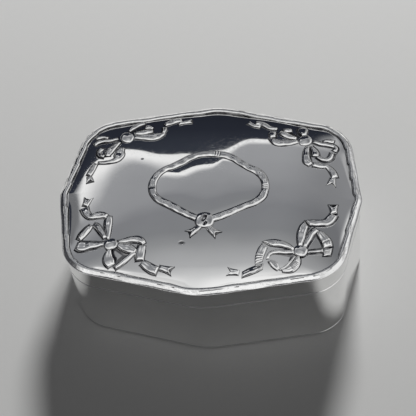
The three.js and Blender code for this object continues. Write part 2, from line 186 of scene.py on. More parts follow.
# A bow drawn for the corner at the back right, as strips of ribbon between its folds. u runs outwards
# and v backwards from the knot, both as shares of the bow's size, and the third number is the strip's
# half width there, as such a share.
BOW_SHARES = {
    "side_tail_rise": [
        (-0.008, -0.15, 0.05), (-0.017, -0.283, 0.083), (-0.004, -0.45, 0.108), (0.012, -0.617, 0.118),
        (0.058, -0.792, 0.113), (0.129, -0.921, 0.1),
    ],
    "side_tail_run": [
        (0.158, -0.95, 0.096), (0.267, -0.979, 0.1), (0.4, -0.992, 0.1), (0.55, -1.008, 0.096),
        (0.675, -1.042, 0.108), (0.792, -1.142, 0.121), (0.867, -1.267, 0.121), (0.9, -1.35, 0.113),
    ],
    "side_tail_tip": [
        (0.904, -1.387, 0.083), (0.896, -1.458, 0.088), (0.883, -1.567, 0.1), (0.867, -1.708, 0.113),
    ],
    "side_loop_in": [
        (0.125, -0.15, 0.046), (0.175, -0.3, 0.062), (0.242, -0.467, 0.071), (0.3, -0.608, 0.075),
        (0.379, -0.717, 0.071), (0.45, -0.767, 0.058),
    ],
    "side_loop_back": [
        (0.475, -0.688, 0.05), (0.567, -0.608, 0.092), (0.675, -0.483, 0.117), (0.758, -0.333, 0.125),
        (0.787, -0.208, 0.117),
    ],
    "side_loop_end": [(0.79, -0.171, 0.108), (0.785, -0.033, 0.1), (0.767, 0.079, 0.083)],
    "side_loop_out": [
        (0.2, 0.025, 0.037), (0.367, -0.017, 0.042), (0.533, -0.05, 0.046), (0.658, -0.079, 0.05),
    ],
    "front_loop_in": [
        (-0.167, 0.058, 0.05), (-0.35, 0.065, 0.062), (-0.55, 0.07, 0.068), (-0.708, 0.082, 0.066),
        (-0.83, 0.12, 0.058), (-0.905, 0.21, 0.05), (-0.915, 0.33, 0.045),
    ],
    "front_loop_back": [
        (-0.885, 0.37, 0.045), (-0.81, 0.42, 0.08), (-0.72, 0.49, 0.1), (-0.65, 0.57, 0.085),
        (-0.59, 0.64, 0.05),
    ],
    "front_loop_fold": [
        (-0.57, 0.635, 0.028), (-0.46, 0.57, 0.034), (-0.355, 0.48, 0.036), (-0.265, 0.37, 0.035),
        (-0.19, 0.25, 0.032), (-0.14, 0.16, 0.028),
    ],
    "front_loop_out": [
        (-0.05, 0.17, 0.05), (-0.062, 0.3, 0.078), (-0.095, 0.42, 0.1), (-0.165, 0.525, 0.112),
        (-0.26, 0.6, 0.1), (-0.38, 0.645, 0.07), (-0.5, 0.668, 0.045),
    ],
    "front_tail_out": [
        (-0.192, -0.033, 0.037), (-0.35, -0.125, 0.067), (-0.533, -0.183, 0.093), (-0.733, -0.208, 0.108),
        (-0.883, -0.196, 0.108), (-0.992, -0.158, 0.104),
    ],
    "front_tail_up": [
        (-1.025, -0.112, 0.1), (-1.075, -0.017, 0.113), (-1.125, 0.108, 0.117), (-1.158, 0.25, 0.113),
        (-1.167, 0.375, 0.104), (-1.163, 0.463, 0.096),
    ],
    "front_tail_end": [
        (-1.038, 0.558, 0.079), (-1.208, 0.633, 0.104), (-1.408, 0.733, 0.104), (-1.633, 0.842, 0.088),
    ],
    "front_tail_tip": [
        (-1.704, 0.796, 0.075), (-1.808, 0.779, 0.083), (-1.917, 0.771, 0.092), (-2.075, 0.758, 0.108),
    ],
}

# How each strip is cut and painted: the slant of its first and last end, the width of the painted dark line
# on its left and right, painted shade and patina that widens where a neighbour's shadow is painted, as
# shares of the bow's size, and its bank, as a share of the relief.
BOW_CUT_SHARES = {
    "side_tail_rise": (0.0, -0.56, 0.055, 0.03, 0.0),
    "side_tail_run": (0.46, 0.0, 0.038, 0.03, 0.0),
    "side_tail_tip": (0.0, 0.0, 0.018, 0.018, 0.2),
    "side_loop_in": (0.0, 0.3, 0.06, 0.05, 0.0),
    "side_loop_back": (0.0, 0.1, 0.08, 0.035, 0.0),
    "side_loop_end": (0.1, 0.3, 0.045, 0.032, -0.2),
    "side_loop_out": (0.0, 0.0, 0.055, 0.07, 0.0),
    "front_loop_in": (0.0, 0.2, 0.03, 0.13, 0.0),
    "front_loop_back": (-0.2, 0.1, 0.035, 0.13, 0.15),
    "front_loop_fold": (0.0, 0.0, 0.02, 0.1, 0.0),
    "front_loop_out": (0.0, 0.3, 0.12, 0.035, 0.2),
    "front_tail_out": (0.0, 0.84, 0.03, 0.05, 0.0),
    "front_tail_up": (-0.26, 0.45, 0.03, 0.06, 0.0),
    "front_tail_end": (-0.5, -0.45, 0.03, 0.035, -0.5),
    "front_tail_tip": (0.0, 0.0, 0.018, 0.018, 0.2),
}

# Where a strip is scored across: from and to, as shares of its length, and how many strokes.
BOW_SCORE_SHARES = {
    "side_loop_end": (0.15, 0.85, 4), "front_loop_out": (0.26, 0.6, 6), "front_tail_end": (0.04, 0.26, 5),
    "side_loop_back": (0.6, 0.78, 1), "front_tail_up": (0.55, 0.95, 3),
}

FORKED = {"side_tail_tip", "front_tail_tip"}

# Each corner's signs and how far its bow was struck off its nominal place, as shares of the bow's size.
BOW_CORNER_SHARES = {
    "bow_back_right": (1, 1, 0.003, 0.028), "bow_back_left": (-1, 1, 0.013, 0.049),
    "bow_front_right": (1, -1, 0.098, 0.045), "bow_front_left": (-1, -1, 0.056, 0.1),
}

# The bows were chased by hand, so three of them differ from the first one in these strips. An empty row
# leaves a strip out.
OWN_SHARES = {
    "bow_front_left": {
        "side_loop_out": [
            (0.2, -0.02, 0.05), (0.4, 0.0, 0.085), (0.6, 0.01, 0.11), (0.78, 0.03, 0.14),
            (0.92, 0.03, 0.15), (1.02, 0.02, 0.12), (1.06, 0.01, 0.08),
        ],
        "side_loop_end": [],
        "side_loop_back": [
            (1.0, -0.2, 0.06), (0.93, -0.33, 0.09), (0.84, -0.46, 0.095), (0.75, -0.58, 0.085),
            (0.68, -0.68, 0.05),
        ],
        "side_loop_in": [
            (0.2, -0.22, 0.05), (0.31, -0.4, 0.07), (0.42, -0.55, 0.075), (0.53, -0.67, 0.07),
            (0.62, -0.72, 0.05),
        ],
        "side_tail_rise": [
            (0.1, -0.18, 0.03), (0.12, -0.35, 0.06), (0.15, -0.55, 0.09), (0.17, -0.75, 0.105),
            (0.17, -0.9, 0.09), (0.15, -1.0, 0.05),
        ],
        "side_tail_run": [
            (0.24, -0.98, 0.06), (0.38, -1.03, 0.1), (0.55, -1.04, 0.11), (0.68, -1.0, 0.09),
            (0.8, -1.03, 0.09), (0.92, -1.17, 0.11), (1.0, -1.35, 0.12),
        ],
        "side_tail_tip": [(0.99, -1.41, 0.09), (0.95, -1.55, 0.1), (0.92, -1.72, 0.11)],
        "front_loop_in": [
            (-0.18, 0.02, 0.05), (-0.35, 0.09, 0.1), (-0.55, 0.16, 0.13), (-0.7, 0.22, 0.1),
            (-0.78, 0.25, 0.06),
        ],
        "front_loop_back": [
            (-0.77, 0.28, 0.045), (-0.6, 0.42, 0.07), (-0.45, 0.57, 0.075), (-0.3, 0.69, 0.065),
            (-0.2, 0.77, 0.05),
        ],
        "front_loop_fold": [],
        "front_loop_out": [
            (0.01, 0.17, 0.05), (0.04, 0.33, 0.1), (0.03, 0.48, 0.14), (-0.03, 0.6, 0.14), (-0.1, 0.7, 0.1),
        ],
        "front_tail_out": [
            (-0.2, -0.08, 0.04), (-0.4, -0.11, 0.07), (-0.6, -0.15, 0.09), (-0.8, -0.15, 0.1),
            (-0.93, -0.08, 0.08), (-1.0, 0.0, 0.05),
        ],
        "front_tail_up": [
            (-0.95, 0.05, 0.09), (-0.93, 0.2, 0.115), (-0.92, 0.38, 0.12), (-0.94, 0.55, 0.1),
        ],
        "front_tail_end": [
            (-0.99, 0.6, 0.09), (-1.15, 0.71, 0.12), (-1.32, 0.81, 0.13), (-1.48, 0.86, 0.12),
        ],
        "front_tail_tip": [(-1.52, 0.76, 0.08), (-1.7, 0.8, 0.09), (-1.92, 0.86, 0.11)],
    },
    "bow_back_left": {
        "side_loop_out": [
            (0.28, -0.02, 0.035), (0.5, -0.07, 0.045), (0.75, -0.08, 0.05), (0.92, -0.12, 0.055),
            (1.02, -0.22, 0.05),
        ],
        "side_loop_end": [(0.62, 0.05, 0.03), (0.82, 0.1, 0.05), (1.0, 0.06, 0.045)],
        "side_loop_back": [
            (0.7, -0.48, 0.04), (0.78, -0.45, 0.05), (0.8, -0.58, 0.055), (0.74, -0.7, 0.05),
            (0.62, -0.74, 0.04),
        ],
        "side_loop_in": [
            (0.18, -0.17, 0.02), (0.32, -0.32, 0.07), (0.43, -0.48, 0.1), (0.5, -0.62, 0.1),
            (0.5, -0.75, 0.05),
        ],
        "side_tail_rise": [
            (0.04, -0.42, 0.03), (0.12, -0.58, 0.11), (0.14, -0.75, 0.14), (0.2, -0.9, 0.1),
            (0.35, -0.98, 0.06), (0.55, -1.01, 0.045), (0.78, -1.0, 0.03),
        ],
        "side_tail_run": [
            (0.83, -1.03, 0.05), (0.9, -1.18, 0.075), (0.96, -1.35, 0.08), (1.0, -1.48, 0.07),
        ],
        "side_tail_tip": [(1.0, -1.5, 0.06), (0.95, -1.62, 0.08), (0.92, -1.75, 0.09)],
        "front_loop_in": [
            (-0.2, 0.17, 0.03), (-0.38, 0.2, 0.07), (-0.58, 0.24, 0.085), (-0.78, 0.28, 0.05),
        ],
        "front_loop_back": [(-0.76, 0.4, 0.03), (-0.65, 0.45, 0.06), (-0.52, 0.47, 0.07)],
        "front_loop_fold": [],
        "front_loop_out": [
            (-0.03, 0.3, 0.03), (-0.13, 0.46, 0.06), (-0.28, 0.6, 0.065), (-0.46, 0.68, 0.045),
        ],
        "front_tail_out": [
            (-0.2, -0.02, 0.03), (-0.45, 0.0, 0.08), (-0.7, 0.0, 0.12), (-0.92, 0.02, 0.12),
            (-1.08, 0.1, 0.07), (-1.17, 0.19, 0.025),
        ],
        "front_tail_up": [(-1.13, 0.2, 0.04), (-1.15, 0.33, 0.05), (-1.13, 0.45, 0.05)],
        "front_tail_end": [
            (-1.12, 0.55, 0.05), (-1.25, 0.65, 0.08), (-1.42, 0.74, 0.08), (-1.62, 0.8, 0.06),
        ],
        "front_tail_tip": [(-1.54, 0.61, 0.05), (-1.72, 0.68, 0.055), (-1.96, 0.74, 0.065)],
    },
    "bow_back_right": {
        "side_loop_out": [
            (0.25, 0.0, 0.04), (0.45, -0.05, 0.055), (0.68, -0.08, 0.055), (0.88, -0.1, 0.055),
            (0.96, -0.2, 0.055), (0.91, -0.32, 0.05),
        ],
        "side_loop_end": [(0.55, 0.05, 0.02), (0.72, 0.1, 0.06), (0.88, 0.07, 0.05)],
        "side_loop_back": [
            (0.84, -0.4, 0.06), (0.8, -0.58, 0.075), (0.7, -0.69, 0.065), (0.56, -0.7, 0.055),
            (0.42, -0.6, 0.05),
        ],
        "side_loop_in": [(0.2, -0.2, 0.03), (0.31, -0.38, 0.075), (0.35, -0.5, 0.09), (0.35, -0.62, 0.08)],
        "side_tail_rise": [
            (0.1, -0.22, 0.05), (0.07, -0.45, 0.085), (0.08, -0.68, 0.1), (0.12, -0.85, 0.11),
            (0.22, -0.97, 0.07),
        ],
        "side_tail_run": [
            (0.28, -0.95, 0.07), (0.45, -0.95, 0.09), (0.6, -0.97, 0.075), (0.7, -0.97, 0.065),
            (0.82, -1.07, 0.08), (0.92, -1.22, 0.09), (0.97, -1.37, 0.085),
        ],
        "front_loop_in": [
            (-0.26, 0.08, 0.04), (-0.45, 0.14, 0.075), (-0.65, 0.24, 0.085), (-0.8, 0.33, 0.05),
        ],
        "front_loop_back": [(-0.68, 0.42, 0.04), (-0.55, 0.42, 0.07), (-0.43, 0.45, 0.05)],
        "front_loop_fold": [],
        "front_loop_out": [(-0.03, 0.24, 0.06), (-0.07, 0.38, 0.11), (-0.09, 0.5, 0.13), (-0.1, 0.58, 0.1)],
        "front_tail_out": [
            (-0.2, -0.04, 0.05), (-0.42, -0.1, 0.09), (-0.65, -0.14, 0.11), (-0.85, -0.13, 0.11),
            (-1.0, -0.05, 0.06), (-1.07, 0.02, 0.03),
        ],
        "front_tail_up": [(-0.98, 0.07, 0.07), (-1.01, 0.2, 0.1), (-1.0, 0.33, 0.08)],
        "front_tail_end": [
            (-0.88, 0.47, 0.04), (-1.08, 0.5, 0.06), (-1.25, 0.62, 0.075), (-1.4, 0.71, 0.075),
            (-1.56, 0.72, 0.06),
        ],
        "front_tail_tip": [(-1.4, 0.55, 0.05), (-1.6, 0.6, 0.055), (-1.8, 0.74, 0.055)],
    },
}

# The right half of the cartouche from back to front, as shares of its half width and half depth.
CARTOUCHE_SHARES = [
    (0, 1), (0.2, 0.973), (0.38, 0.874), (0.54, 0.71), (0.69, 0.58), (0.84, 0.47), (0.95, 0.29), (1, 0.06),
    (0.985, -0.16), (0.94, -0.3), (0.84, -0.44), (0.66, -0.57), (0.46, -0.73), (0.25, -0.88), (0, -1),
]

# Folds and strokes across the cartouche's ribbon: from and to, as shares of its length clockwise from
# the back, and how many strokes.
CARTOUCHE_MARK_SHARES = [(0.005, 0.03, 3), (0.24, 0.262, 3), (0.725, 0.75, 1)]

# Each of the cartouche's tails from its knot: metres out and forwards, and its width as a share of the
# ribbon's.
CARTOUCHE_TAIL = [(0.0, 0.0, 0.6), (0.0024, 0.0036, 0.85), (0.0054, 0.006, 1.05)]
# The cartouche tails' painted dark line, painted shade and patina, as a share of the brim, and their bank.
TAIL_BRIM_SHARE, TAIL_BANK_SHARE = 0.6, 0.4


def sizes(group):
    """The values of one of the property groups."""
    return getattr(bpy.context.scene, "trinket_" + group)


def outline(inset, run_steps=10, arc_steps=14):
    """The plan moved inwards by an inset, anticlockwise from the front point, as (x, y) vectors."""
    p = sizes("plan")
    corner = Vector((p.width / 2 - p.side_point_out, p.depth / 2 - p.front_point_out))
    quarter = [
        (Vector((0, -p.depth / 2)), p.front_point_radius),
        (Vector((corner.x, -corner.y)), p.corner_radius),
        (Vector((p.width / 2, 0)), p.side_point_radius),
        (Vector((corner.x, corner.y)), p.corner_radius),
    ]
    places = quarter + [(-at, radius) for at, radius in quarter]
    corners = [at for at, _ in places]
    moved = []
    for i, at in enumerate(corners):
        before = (at - corners[i - 1]).normalized()
        after = (corners[(i + 1) % 8] - at).normalized()
        inwards = Vector((-before.y - after.y, before.x + after.x)).normalized()
        moved.append(at + inwards * inset / math.cos(before.angle(after) / 2))
    points = []
    for i, at in enumerate(moved):
        before = (at - moved[i - 1]).normalized()
        after = (moved[(i + 1) % 8] - at).normalized()
        turn = before.angle(after)
        radius = places[i][1] - inset
        start = at - before * radius * math.tan(turn / 2)
        centre = start + Vector((-before.y, before.x)) * radius
        if points:
            last = points[-1]
            points += [last.lerp(start, s / run_steps) for s in range(1, run_steps)]
        arm = start - centre
        for s in range(arc_steps + 1):
            angle = turn * s / arc_steps
            points.append(centre + Matrix.Rotation(angle, 2) @ arm)
    last, first = points[-1], points[0]
    points += [last.lerp(first, s / run_steps) for s in range(1, run_steps)]
    return points


def evenly(points, count):
    """A closed outline resampled at even steps."""
    ends = points[1:] + points[:1]
    runs = [(b - a).length for a, b in zip(points, ends)]
    total = sum(runs)
    out, run, done = [], 0, 0.0
    for i in range(count):
        along = total * i / count
        while done + runs[run] <= along:
            done += runs[run]
            run += 1
        out.append(points[run].lerp(ends[run], (along - done) / runs[run]))
    return out


def star(points):
    """The reach of a closed outline in any direction from the middle, as a function of (x, y)."""
    polar = sorted((math.atan2(p.y, p.x), p.length) for p in points)
    polar = [(polar[-1][0] - math.tau, polar[-1][1])] + polar + [(polar[0][0] + math.tau, polar[0][1])]
    angles = [a for a, _ in polar]

    def reach(x, y):
        angle = math.atan2(y, x)
        low, high = 0, len(angles) - 1
        while high - low > 1:
            middle = (low + high) // 2
            if angles[middle] <= angle:
                low = middle
            else:
                high = middle
        part = (angle - angles[low]) / max(angles[high] - angles[low], 1e-9)
        return polar[low][1] * (1 - part) + polar[high][1] * part

    return reach


def smooth(points, steps, closed=False):
    """A soft curve through points of any size, with some steps between each two."""
    count = len(points)
    out = []
    for i in range(count if closed else count - 1):
        near = [i + k if closed else min(max(i + k, 0), count - 1) for k in (-1, 0, 1, 2)]
        for s in range(steps):
            t = s / steps
            out.append([
                0.5 * (
                    2 * b + (c - a) * t + (2 * a - 5 * b + 4 * c - d) * t * t
                    + (3 * b - a - 3 * c + d) * t ** 3
                )
                for a, b, c, d in zip(*(points[k % count] for k in near))
            ])
    if not closed:
        out.append(list(points[-1]))
    return out


def cartouche_outline():
    """The cartouche's middle line round the lid, as (x, y) vectors from its own middle."""
    r = sizes("ribbons")
    whole = CARTOUCHE_SHARES + [(-x, y) for x, y in reversed(CARTOUCHE_SHARES[1:-1])]
    line = smooth([(x * r.cartouche_out, y * r.cartouche_forward) for x, y in whole], 6, closed=True)
    return [Vector(p) for p in line]


class Top:
    """The height of the lid's sheet at any place. Its level lines follow the plan at the edge of the
    cushion, part 1, and turn into soft rounded ones further in, down to part 0 in the middle."""

    # How late the level lines turn into the plan's shape, and how often their solver steps.
    SHARPNESS = 20
    SOLVER_STEPS = 6

    def __init__(self):
        self.lid = sizes("lid")
        self.back = sizes("ribbons").cartouche_back
        self.edge = outline(self.lid.cushion_inset)
        self.reach = star(self.edge)
        self.half_width = self.reach(1, 0)
        self.half_depth = self.reach(0, 1)
        self.reserve = star(cartouche_outline())

    def reaches(self, x, y):
        """How far the soft outermost level line reaches towards (x, y), and how much further the edge is."""
        away = math.hypot(x, y)
        roundness = self.lid.roundness
        squares = (abs(x) / away / self.half_width, abs(y) / away / self.half_depth)
        soft = sum(square ** roundness for square in squares) ** (-1 / roundness)
        return soft, self.reach(x, y) - soft

    def ring(self, part, drop=0.0):
        """One level line as points at their own height."""
        points = []
        for p in self.edge:
            soft, more = self.reaches(p.x, p.y)
            place = p.normalized() * part * (soft + more * part ** self.SHARPNESS)
            points.append((place.x, place.y, self(place.x, place.y) - drop))
        return points

    def __call__(self, x, y):
        away, part = math.hypot(x, y), 0.0
        if away > 1e-6:
            soft, more = self.reaches(x, y)
            part = min(1.0, away / soft) if away < soft + more else 1.0
            for _ in range(self.SOLVER_STEPS if away < soft + more else 0):
                spread = more * part ** self.SHARPNESS
                part -= (part * (soft + spread) - away) / (soft + (self.SHARPNESS + 1) * spread)
                part = min(1.0, max(0.0, part))
        raised = 0.0
        inner = math.hypot(x, y - self.back) / self.reserve(x, y - self.back)
        if inner < 1:
            raised = self.lid.reserve_rise * (1 - inner ** 4)
        return self.lid.flat_top + self.lid.cushion_rise * (1 - part ** 3) + raised


def clear_selection():
    """Leaves no object selected."""
    if bpy.context.object and bpy.context.object.mode != "OBJECT":
        bpy.ops.object.mode_set(mode="OBJECT")
    bpy.ops.object.select_all(action="DESELECT")


def place_selected(piece, before, ring, hollow):
    """Moves each newly extruded vertex, found beside the one it came from, to its place on the ring."""
    mesh = bmesh.from_edit_mesh(piece.data)
    mesh.verts.ensure_lookup_table()
    layer = mesh.verts.layers.float["hollow"]
    known = set(before)
    after = []
    for index in before:
        vertex = mesh.verts[index]
        new = next(
            e.other_vert(vertex) for e in vertex.link_edges
            if e.other_vert(vertex).select and e.other_vert(vertex).index not in known
        )
        after.append(new.index)
    for index, place, depth in zip(after, ring, hollow):
        mesh.verts[index].co = place
        mesh.verts[index][layer] = depth
    bmesh.update_edit_mesh(piece.data)
    return after


def drawn_out(name, rings, joined=False, hollows=None, first="FILL", last="FILL"):
    """A ring of points extruded through a row of rings. The row is joined into a loop, or its ends are
    filled or, for a ring that has shrunk to nothing, merged to one point. The float attribute that each
    point carries says how dark it is painted, as painted shade and patina."""
    count = len(rings[0])
    hollows = hollows or [[0.0] * count] * len(rings)
    clear_selection()
    bpy.ops.mesh.primitive_circle_add(vertices=count, fill_type="NOTHING")
    piece = bpy.context.object
    piece.name = name
    piece.data.name = name
    bpy.ops.object.mode_set(mode="EDIT")
    bpy.ops.mesh.select_mode(type="VERT")
    mesh = bmesh.from_edit_mesh(piece.data)
    layer = mesh.verts.layers.float.new("hollow")
    mesh.verts.ensure_lookup_table()
    for vertex, place, depth in zip(mesh.verts, rings[0], hollows[0]):
        vertex.co = place
        vertex[layer] = depth
    bmesh.update_edit_mesh(piece.data)
    start = list(range(count))
    now = start
    for ring, hollow in zip(rings[1:], hollows[1:]):
        bpy.ops.mesh.extrude_region_move()
        now = place_selected(piece, now, ring, hollow)
    if joined:
        select_vertices(piece, start + now)
        bpy.ops.mesh.bridge_edge_loops()
    else:
        for ends, how in ((now, last), (start, first)):
            select_vertices(piece, ends)
            if how == "MERGE":
                bpy.ops.mesh.merge(type="CENTER")
            else:
                bpy.ops.mesh.edge_face_add()
    bpy.ops.mesh.select_all(action="SELECT")
    bpy.ops.mesh.normals_make_consistent(inside=False)
    bpy.ops.object.mode_set(mode="OBJECT")
    return piece


def select_vertices(piece, indices):
    """Selects these vertices, and the edges and faces between them, and nothing else."""
    bpy.ops.mesh.select_all(action="DESELECT")
    mesh = bmesh.from_edit_mesh(piece.data)
    mesh.verts.ensure_lookup_table()
    for index in indices:
        mesh.verts[index].select = True
    mesh.select_flush(True)
    bmesh.update_edit_mesh(piece.data)


def only_selected(piece):
    """Selects one object and makes it the active one."""
    clear_selection()
    piece.select_set(True)
    bpy.context.view_layer.objects.active = piece


def joined_pieces(name, pieces):
    """Several meshes as one object."""
    clear_selection()
    for piece in pieces:
        piece.select_set(True)
    bpy.context.view_layer.objects.active = pieces[0]
    if len(pieces) > 1:
        bpy.ops.object.join()
    pieces[0].name = name
    pieces[0].data.name = name
    return pieces[0]


def mirrored_copy(piece, across, along, shift=(0.0, 0.0, 0.0)):
    """A copy with its own mesh, mirrored over the lid's middle lines by its signs and then moved."""
    only_selected(piece)
    bpy.ops.object.duplicate(linked=False)
    copy = bpy.context.object
    bpy.ops.object.mode_set(mode="EDIT")
    bpy.ops.mesh.select_all(action="SELECT")
    bpy.ops.transform.resize(value=(across, along, 1), center_override=(0, 0, 0), orient_type="GLOBAL")
    bpy.ops.transform.translate(value=shift, orient_type="GLOBAL")
    bpy.ops.mesh.normals_make_consistent(inside=False)
    bpy.ops.object.mode_set(mode="OBJECT")
    return copy


def dress(piece, degrees, body, name, *nodes):
    """Shades a finished piece smooth, but for edges sharper than some degrees, and gives it its metal
    and body. The nodes are those that it stands for."""
    only_selected(piece)
    bpy.ops.object.shade_smooth_by_angle(angle=math.radians(degrees))
    piece.data.materials.clear()
    piece.data.materials.append(metal(name))
    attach(piece, body)
    if nodes:
        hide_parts(*nodes)


def at_height(points, z):
    """Plan points at one height."""
    return [(p.x, p.y, z) for p in points]


def shell(name, section):
    """A closed band round the plan: each (inset, height) of its section is a ring of its own."""
    return drawn_out(name, [at_height(outline(inset), z) for inset, z in section], joined=True)


def relieve(piece):
    """Cuts the round trough that clears the hinge's knuckles."""
    h = sizes("hinge")
    low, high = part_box("body_knuckle_1")[0].x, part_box("body_knuckle_5")[1].x
    clear_selection()
    bpy.ops.mesh.primitive_cylinder_add(
        vertices=h.steps, radius=h.radius + h.clearance, depth=high - low + 2 * h.clearance,
        location=((low + high) / 2, PIN_Y, PIN_Z), rotation=(0, math.pi / 2, 0),
    )
    cutter = bpy.context.object
    only_selected(piece)
    cut = piece.modifiers.new("trough", "BOOLEAN")
    cut.object = cutter
    cut.operation = "DIFFERENCE"
    cut.solver = "EXACT"
    bpy.ops.object.modifier_apply(modifier=cut.name)
    bpy.data.objects.remove(cutter)


class Tree:
    """Adds nodes to a material or world one after another, each fed with numbers or with other nodes."""

    def __init__(self, owner):
        owner.use_nodes = True
        self.tree = owner.node_tree
        self.tree.nodes.clear()

    def add(self, kind, settings=None, **inputs):
        node = self.tree.nodes.new(kind)
        for key, value in (settings or {}).items():
            setattr(node, key, value)
        for key, value in inputs.items():
            self.feed(node.inputs[key.replace("_", " ")], value)
        return node

    def feed(self, socket, value):
        if isinstance(value, bpy.types.NodeSocket):
            self.tree.links.new(value, socket)
        else:
            socket.default_value = value

    def maths(self, operation, *values, kind="ShaderNodeMath"):
        node = self.add(kind, {"operation": operation})
        for socket, value in zip(node.inputs, values):
            self.feed(socket, value)
        return next(s for s in node.outputs if s.enabled)

    def times(self, first, *others):
        for other in others:
            first = self.maths("MULTIPLY", first, other)
        return first

    def spread(self, value, low, high, out_low=0.0, out_high=1.0):
        node = self.add("ShaderNodeMapRange", {"interpolation_type": "SMOOTHSTEP"})
        for socket, number in zip(node.inputs, (value, low, high, out_low, out_high)):
            self.feed(socket, number)
        return node.outputs[0]

    def mix(self, factor, first, second, blend="MIX"):
        node = self.add("ShaderNodeMix", {"data_type": "RGBA", "blend_type": blend})
        ends = [s for s in node.inputs if s.enabled]
        for socket, value in zip(ends, (factor, first, second)):
            self.feed(socket, value)
        return next(s for s in node.outputs if s.enabled)

    def noise(self, place, scale, detail=2.0, roughness=0.5):
        node = self.add("ShaderNodeTexNoise", Vector=place, Scale=scale, Detail=detail, Roughness=roughness)
        return node.outputs["Fac"]

    def bump(self, distance, height, under=None, strength=1.0):
        node = self.add("ShaderNodeBump", Strength=strength, Distance=distance, Height=height)
        if under:
            self.feed(node.inputs["Normal"], under)
        return node.outputs[0]


def opaque(rgb):
    """A colour with its alpha."""
    return (*rgb, 1.0)


# Each metal's slot, its colour among the finish's values, its roughness, how much darker its cloudy
# patches are, the wavering of its sheet and, on chased work, the depth of the punches' small facets.
METALS = {
    "silver": ("polished_silver", "silver", 0.035, 0.04, 0.00004, 0.0),
    "cushion": ("polished_silver", "silver", 0.022, 0.04, 0.00004, 0.0),
    "chased": ("polished_silver", "silver", 0.035, 0.04, 0.00002, 0.00005),
    "hammered": ("polished_silver", "silver", 0.04, 0.04, 0.00002, 0.00009),
    "inner": ("inner_silver", "inner_silver", 0.16, 0.08, 0.00006, 0.0),
    "steel": ("pin_steel", "steel", 0.22, 0.1, 0.00001, 0.0),
}

# The place and radius of each small dent in the cushion, their depth, and the factors on the distances
# from their middles, which make them wider than they are deep from front to back.
DENTS = [(-0.0072, -0.0227, 0.0011), (-0.0257, 0.0145, 0.0005)]
DENT_DEPTH = 0.00009
DENT_STRETCH = (0.75, 1.1, 0.0)
RUB_DEPTH = 0.0000025


def dented(t, place):
    """How far inside one of the dents each place lies, from 0 to 1."""
    pits = []
    for x, y, radius in DENTS:
        away = t.maths("SUBTRACT", place, (x, y, 0.0), kind="ShaderNodeVectorMath")
        away = t.maths("MULTIPLY", away, DENT_STRETCH, kind="ShaderNodeVectorMath")
        size = t.maths("LENGTH", away, kind="ShaderNodeVectorMath")
        pits.append(t.spread(size, radius, radius * 0.35))
    return t.maths("MAXIMUM", *pits)


def rubbed(t, place):
    """Fine marks of rubbing and fine scratches across them, both stretched noise."""
    marks = []
    for angle, stretch, scale, low, high in (
        (0.5, (1.0, 14.0, 1.0), 700.0, 0.62, 0.75), (-0.9, (12.0, 1.0, 1.0), 900.0, 0.66, 0.76),
    ):
        drawn = t.add("ShaderNodeMapping", Vector=place, Rotation=(0.0, 0.0, angle), Scale=stretch)
        marks.append(t.spread(t.noise(drawn.outputs[0], scale, 2.0), low, high))
    return t.maths("ADD", *marks)


def metal(name):
    """One of the box's metals, made the first time that it is asked for: a sheet that wavers softly,
    rubbing marks, patina and painted shade in the recesses, dents in the cushion that are darker in colour
    as well as bumped, and small facets on chased work."""
    found = bpy.data.materials.get("box_" + name)
    if found:
        return found
    _, base, rough, wear, waver, chased = METALS[name]
    base, patina_and_shade = getattr(sizes("finish"), base), sizes("finish").patina_and_shade
    material = bpy.data.materials.new("box_" + name)
    t = Tree(material)
    place = t.add("ShaderNodeTexCoord").outputs["Object"]
    # A mask painted on the meshes: painted shade and patina in recesses, creases and shadows.
    hollow = t.add("ShaderNodeAttribute", {"attribute_name": "hollow"}).outputs["Fac"]
    cloud = t.noise(place, 60.0, 3.0)
    marks = rubbed(t, place)
    grime = t.times(t.maths("SUBTRACT", t.noise(place, 900.0, 3.0, 0.6), 0.5), 0.5)
    # Painted shade and patina from the mask, broken up by random grime.
    dark = t.spread(t.maths("ADD", hollow, grime), 0.15, 0.8)
    bump = t.bump(waver, t.noise(place, 75.0, 1.0))
    bump = t.bump(RUB_DEPTH, marks, bump, 0.35)
    if name == "cushion":
        pits = dented(t, place)
        # The dents are darker in colour as well as bumped.
        dark = t.maths("MAXIMUM", dark, t.times(pits, 0.85))
        bump = t.bump(-DENT_DEPTH, pits, bump)
    if chased:
        dark = t.times(dark, t.spread(t.noise(place, 240.0, 1.0), 0.36, 0.56, 0.72, 1.0))
        facets = t.noise(place, 620.0, 2.0, 0.55)
        bump = t.bump(chased, facets, bump)
    tint = t.mix(t.spread(cloud, 0.35, 0.7), opaque(base), opaque([c * (1 - wear) for c in base]))
    roughness = t.maths("ADD", rough, t.times(cloud, rough * 0.8))
    roughness = t.maths("ADD", roughness, t.times(marks, 0.05))
    roughness = t.maths("ADD", roughness, t.times(dark, 0.25))
    # The colour turns towards the patina colour where the painted shade and patina lie.
    shader = t.add(
        "ShaderNodeBsdfPrincipled", Metallic=1.0, Base_Color=t.mix(dark, tint, opaque(patina_and_shade)),
        Roughness=roughness, Normal=bump,
    )
    t.add("ShaderNodeOutputMaterial", Surface=shader.outputs[0])
    return material


class TRINKET_OT_base(bpy.types.Operator):
    """Base plate with a chamfered foot and an inner face that is left plain"""

    bl_idname = "trinket.base"
    bl_label = "Base plate"

    def execute(self, context):
        b = sizes("body")
        foot = b.wall_inset + b.wall_lean
        low, high = BASE_LOW.z, BASE_HIGH.z
        rings = [
            at_height(outline(foot + b.chamfer), low),
            at_height(outline(foot + b.chamfer / 3), low + b.chamfer / 4),
            at_height(outline(foot), low + b.chamfer),
            at_height(outline(foot), high - b.edge),
            at_height(outline(foot + b.edge), high),
        ]
        piece = drawn_out("base_sheet", rings)
        dress(piece, 25, "box", "silver", "base_plate")
        return {"FINISHED"}


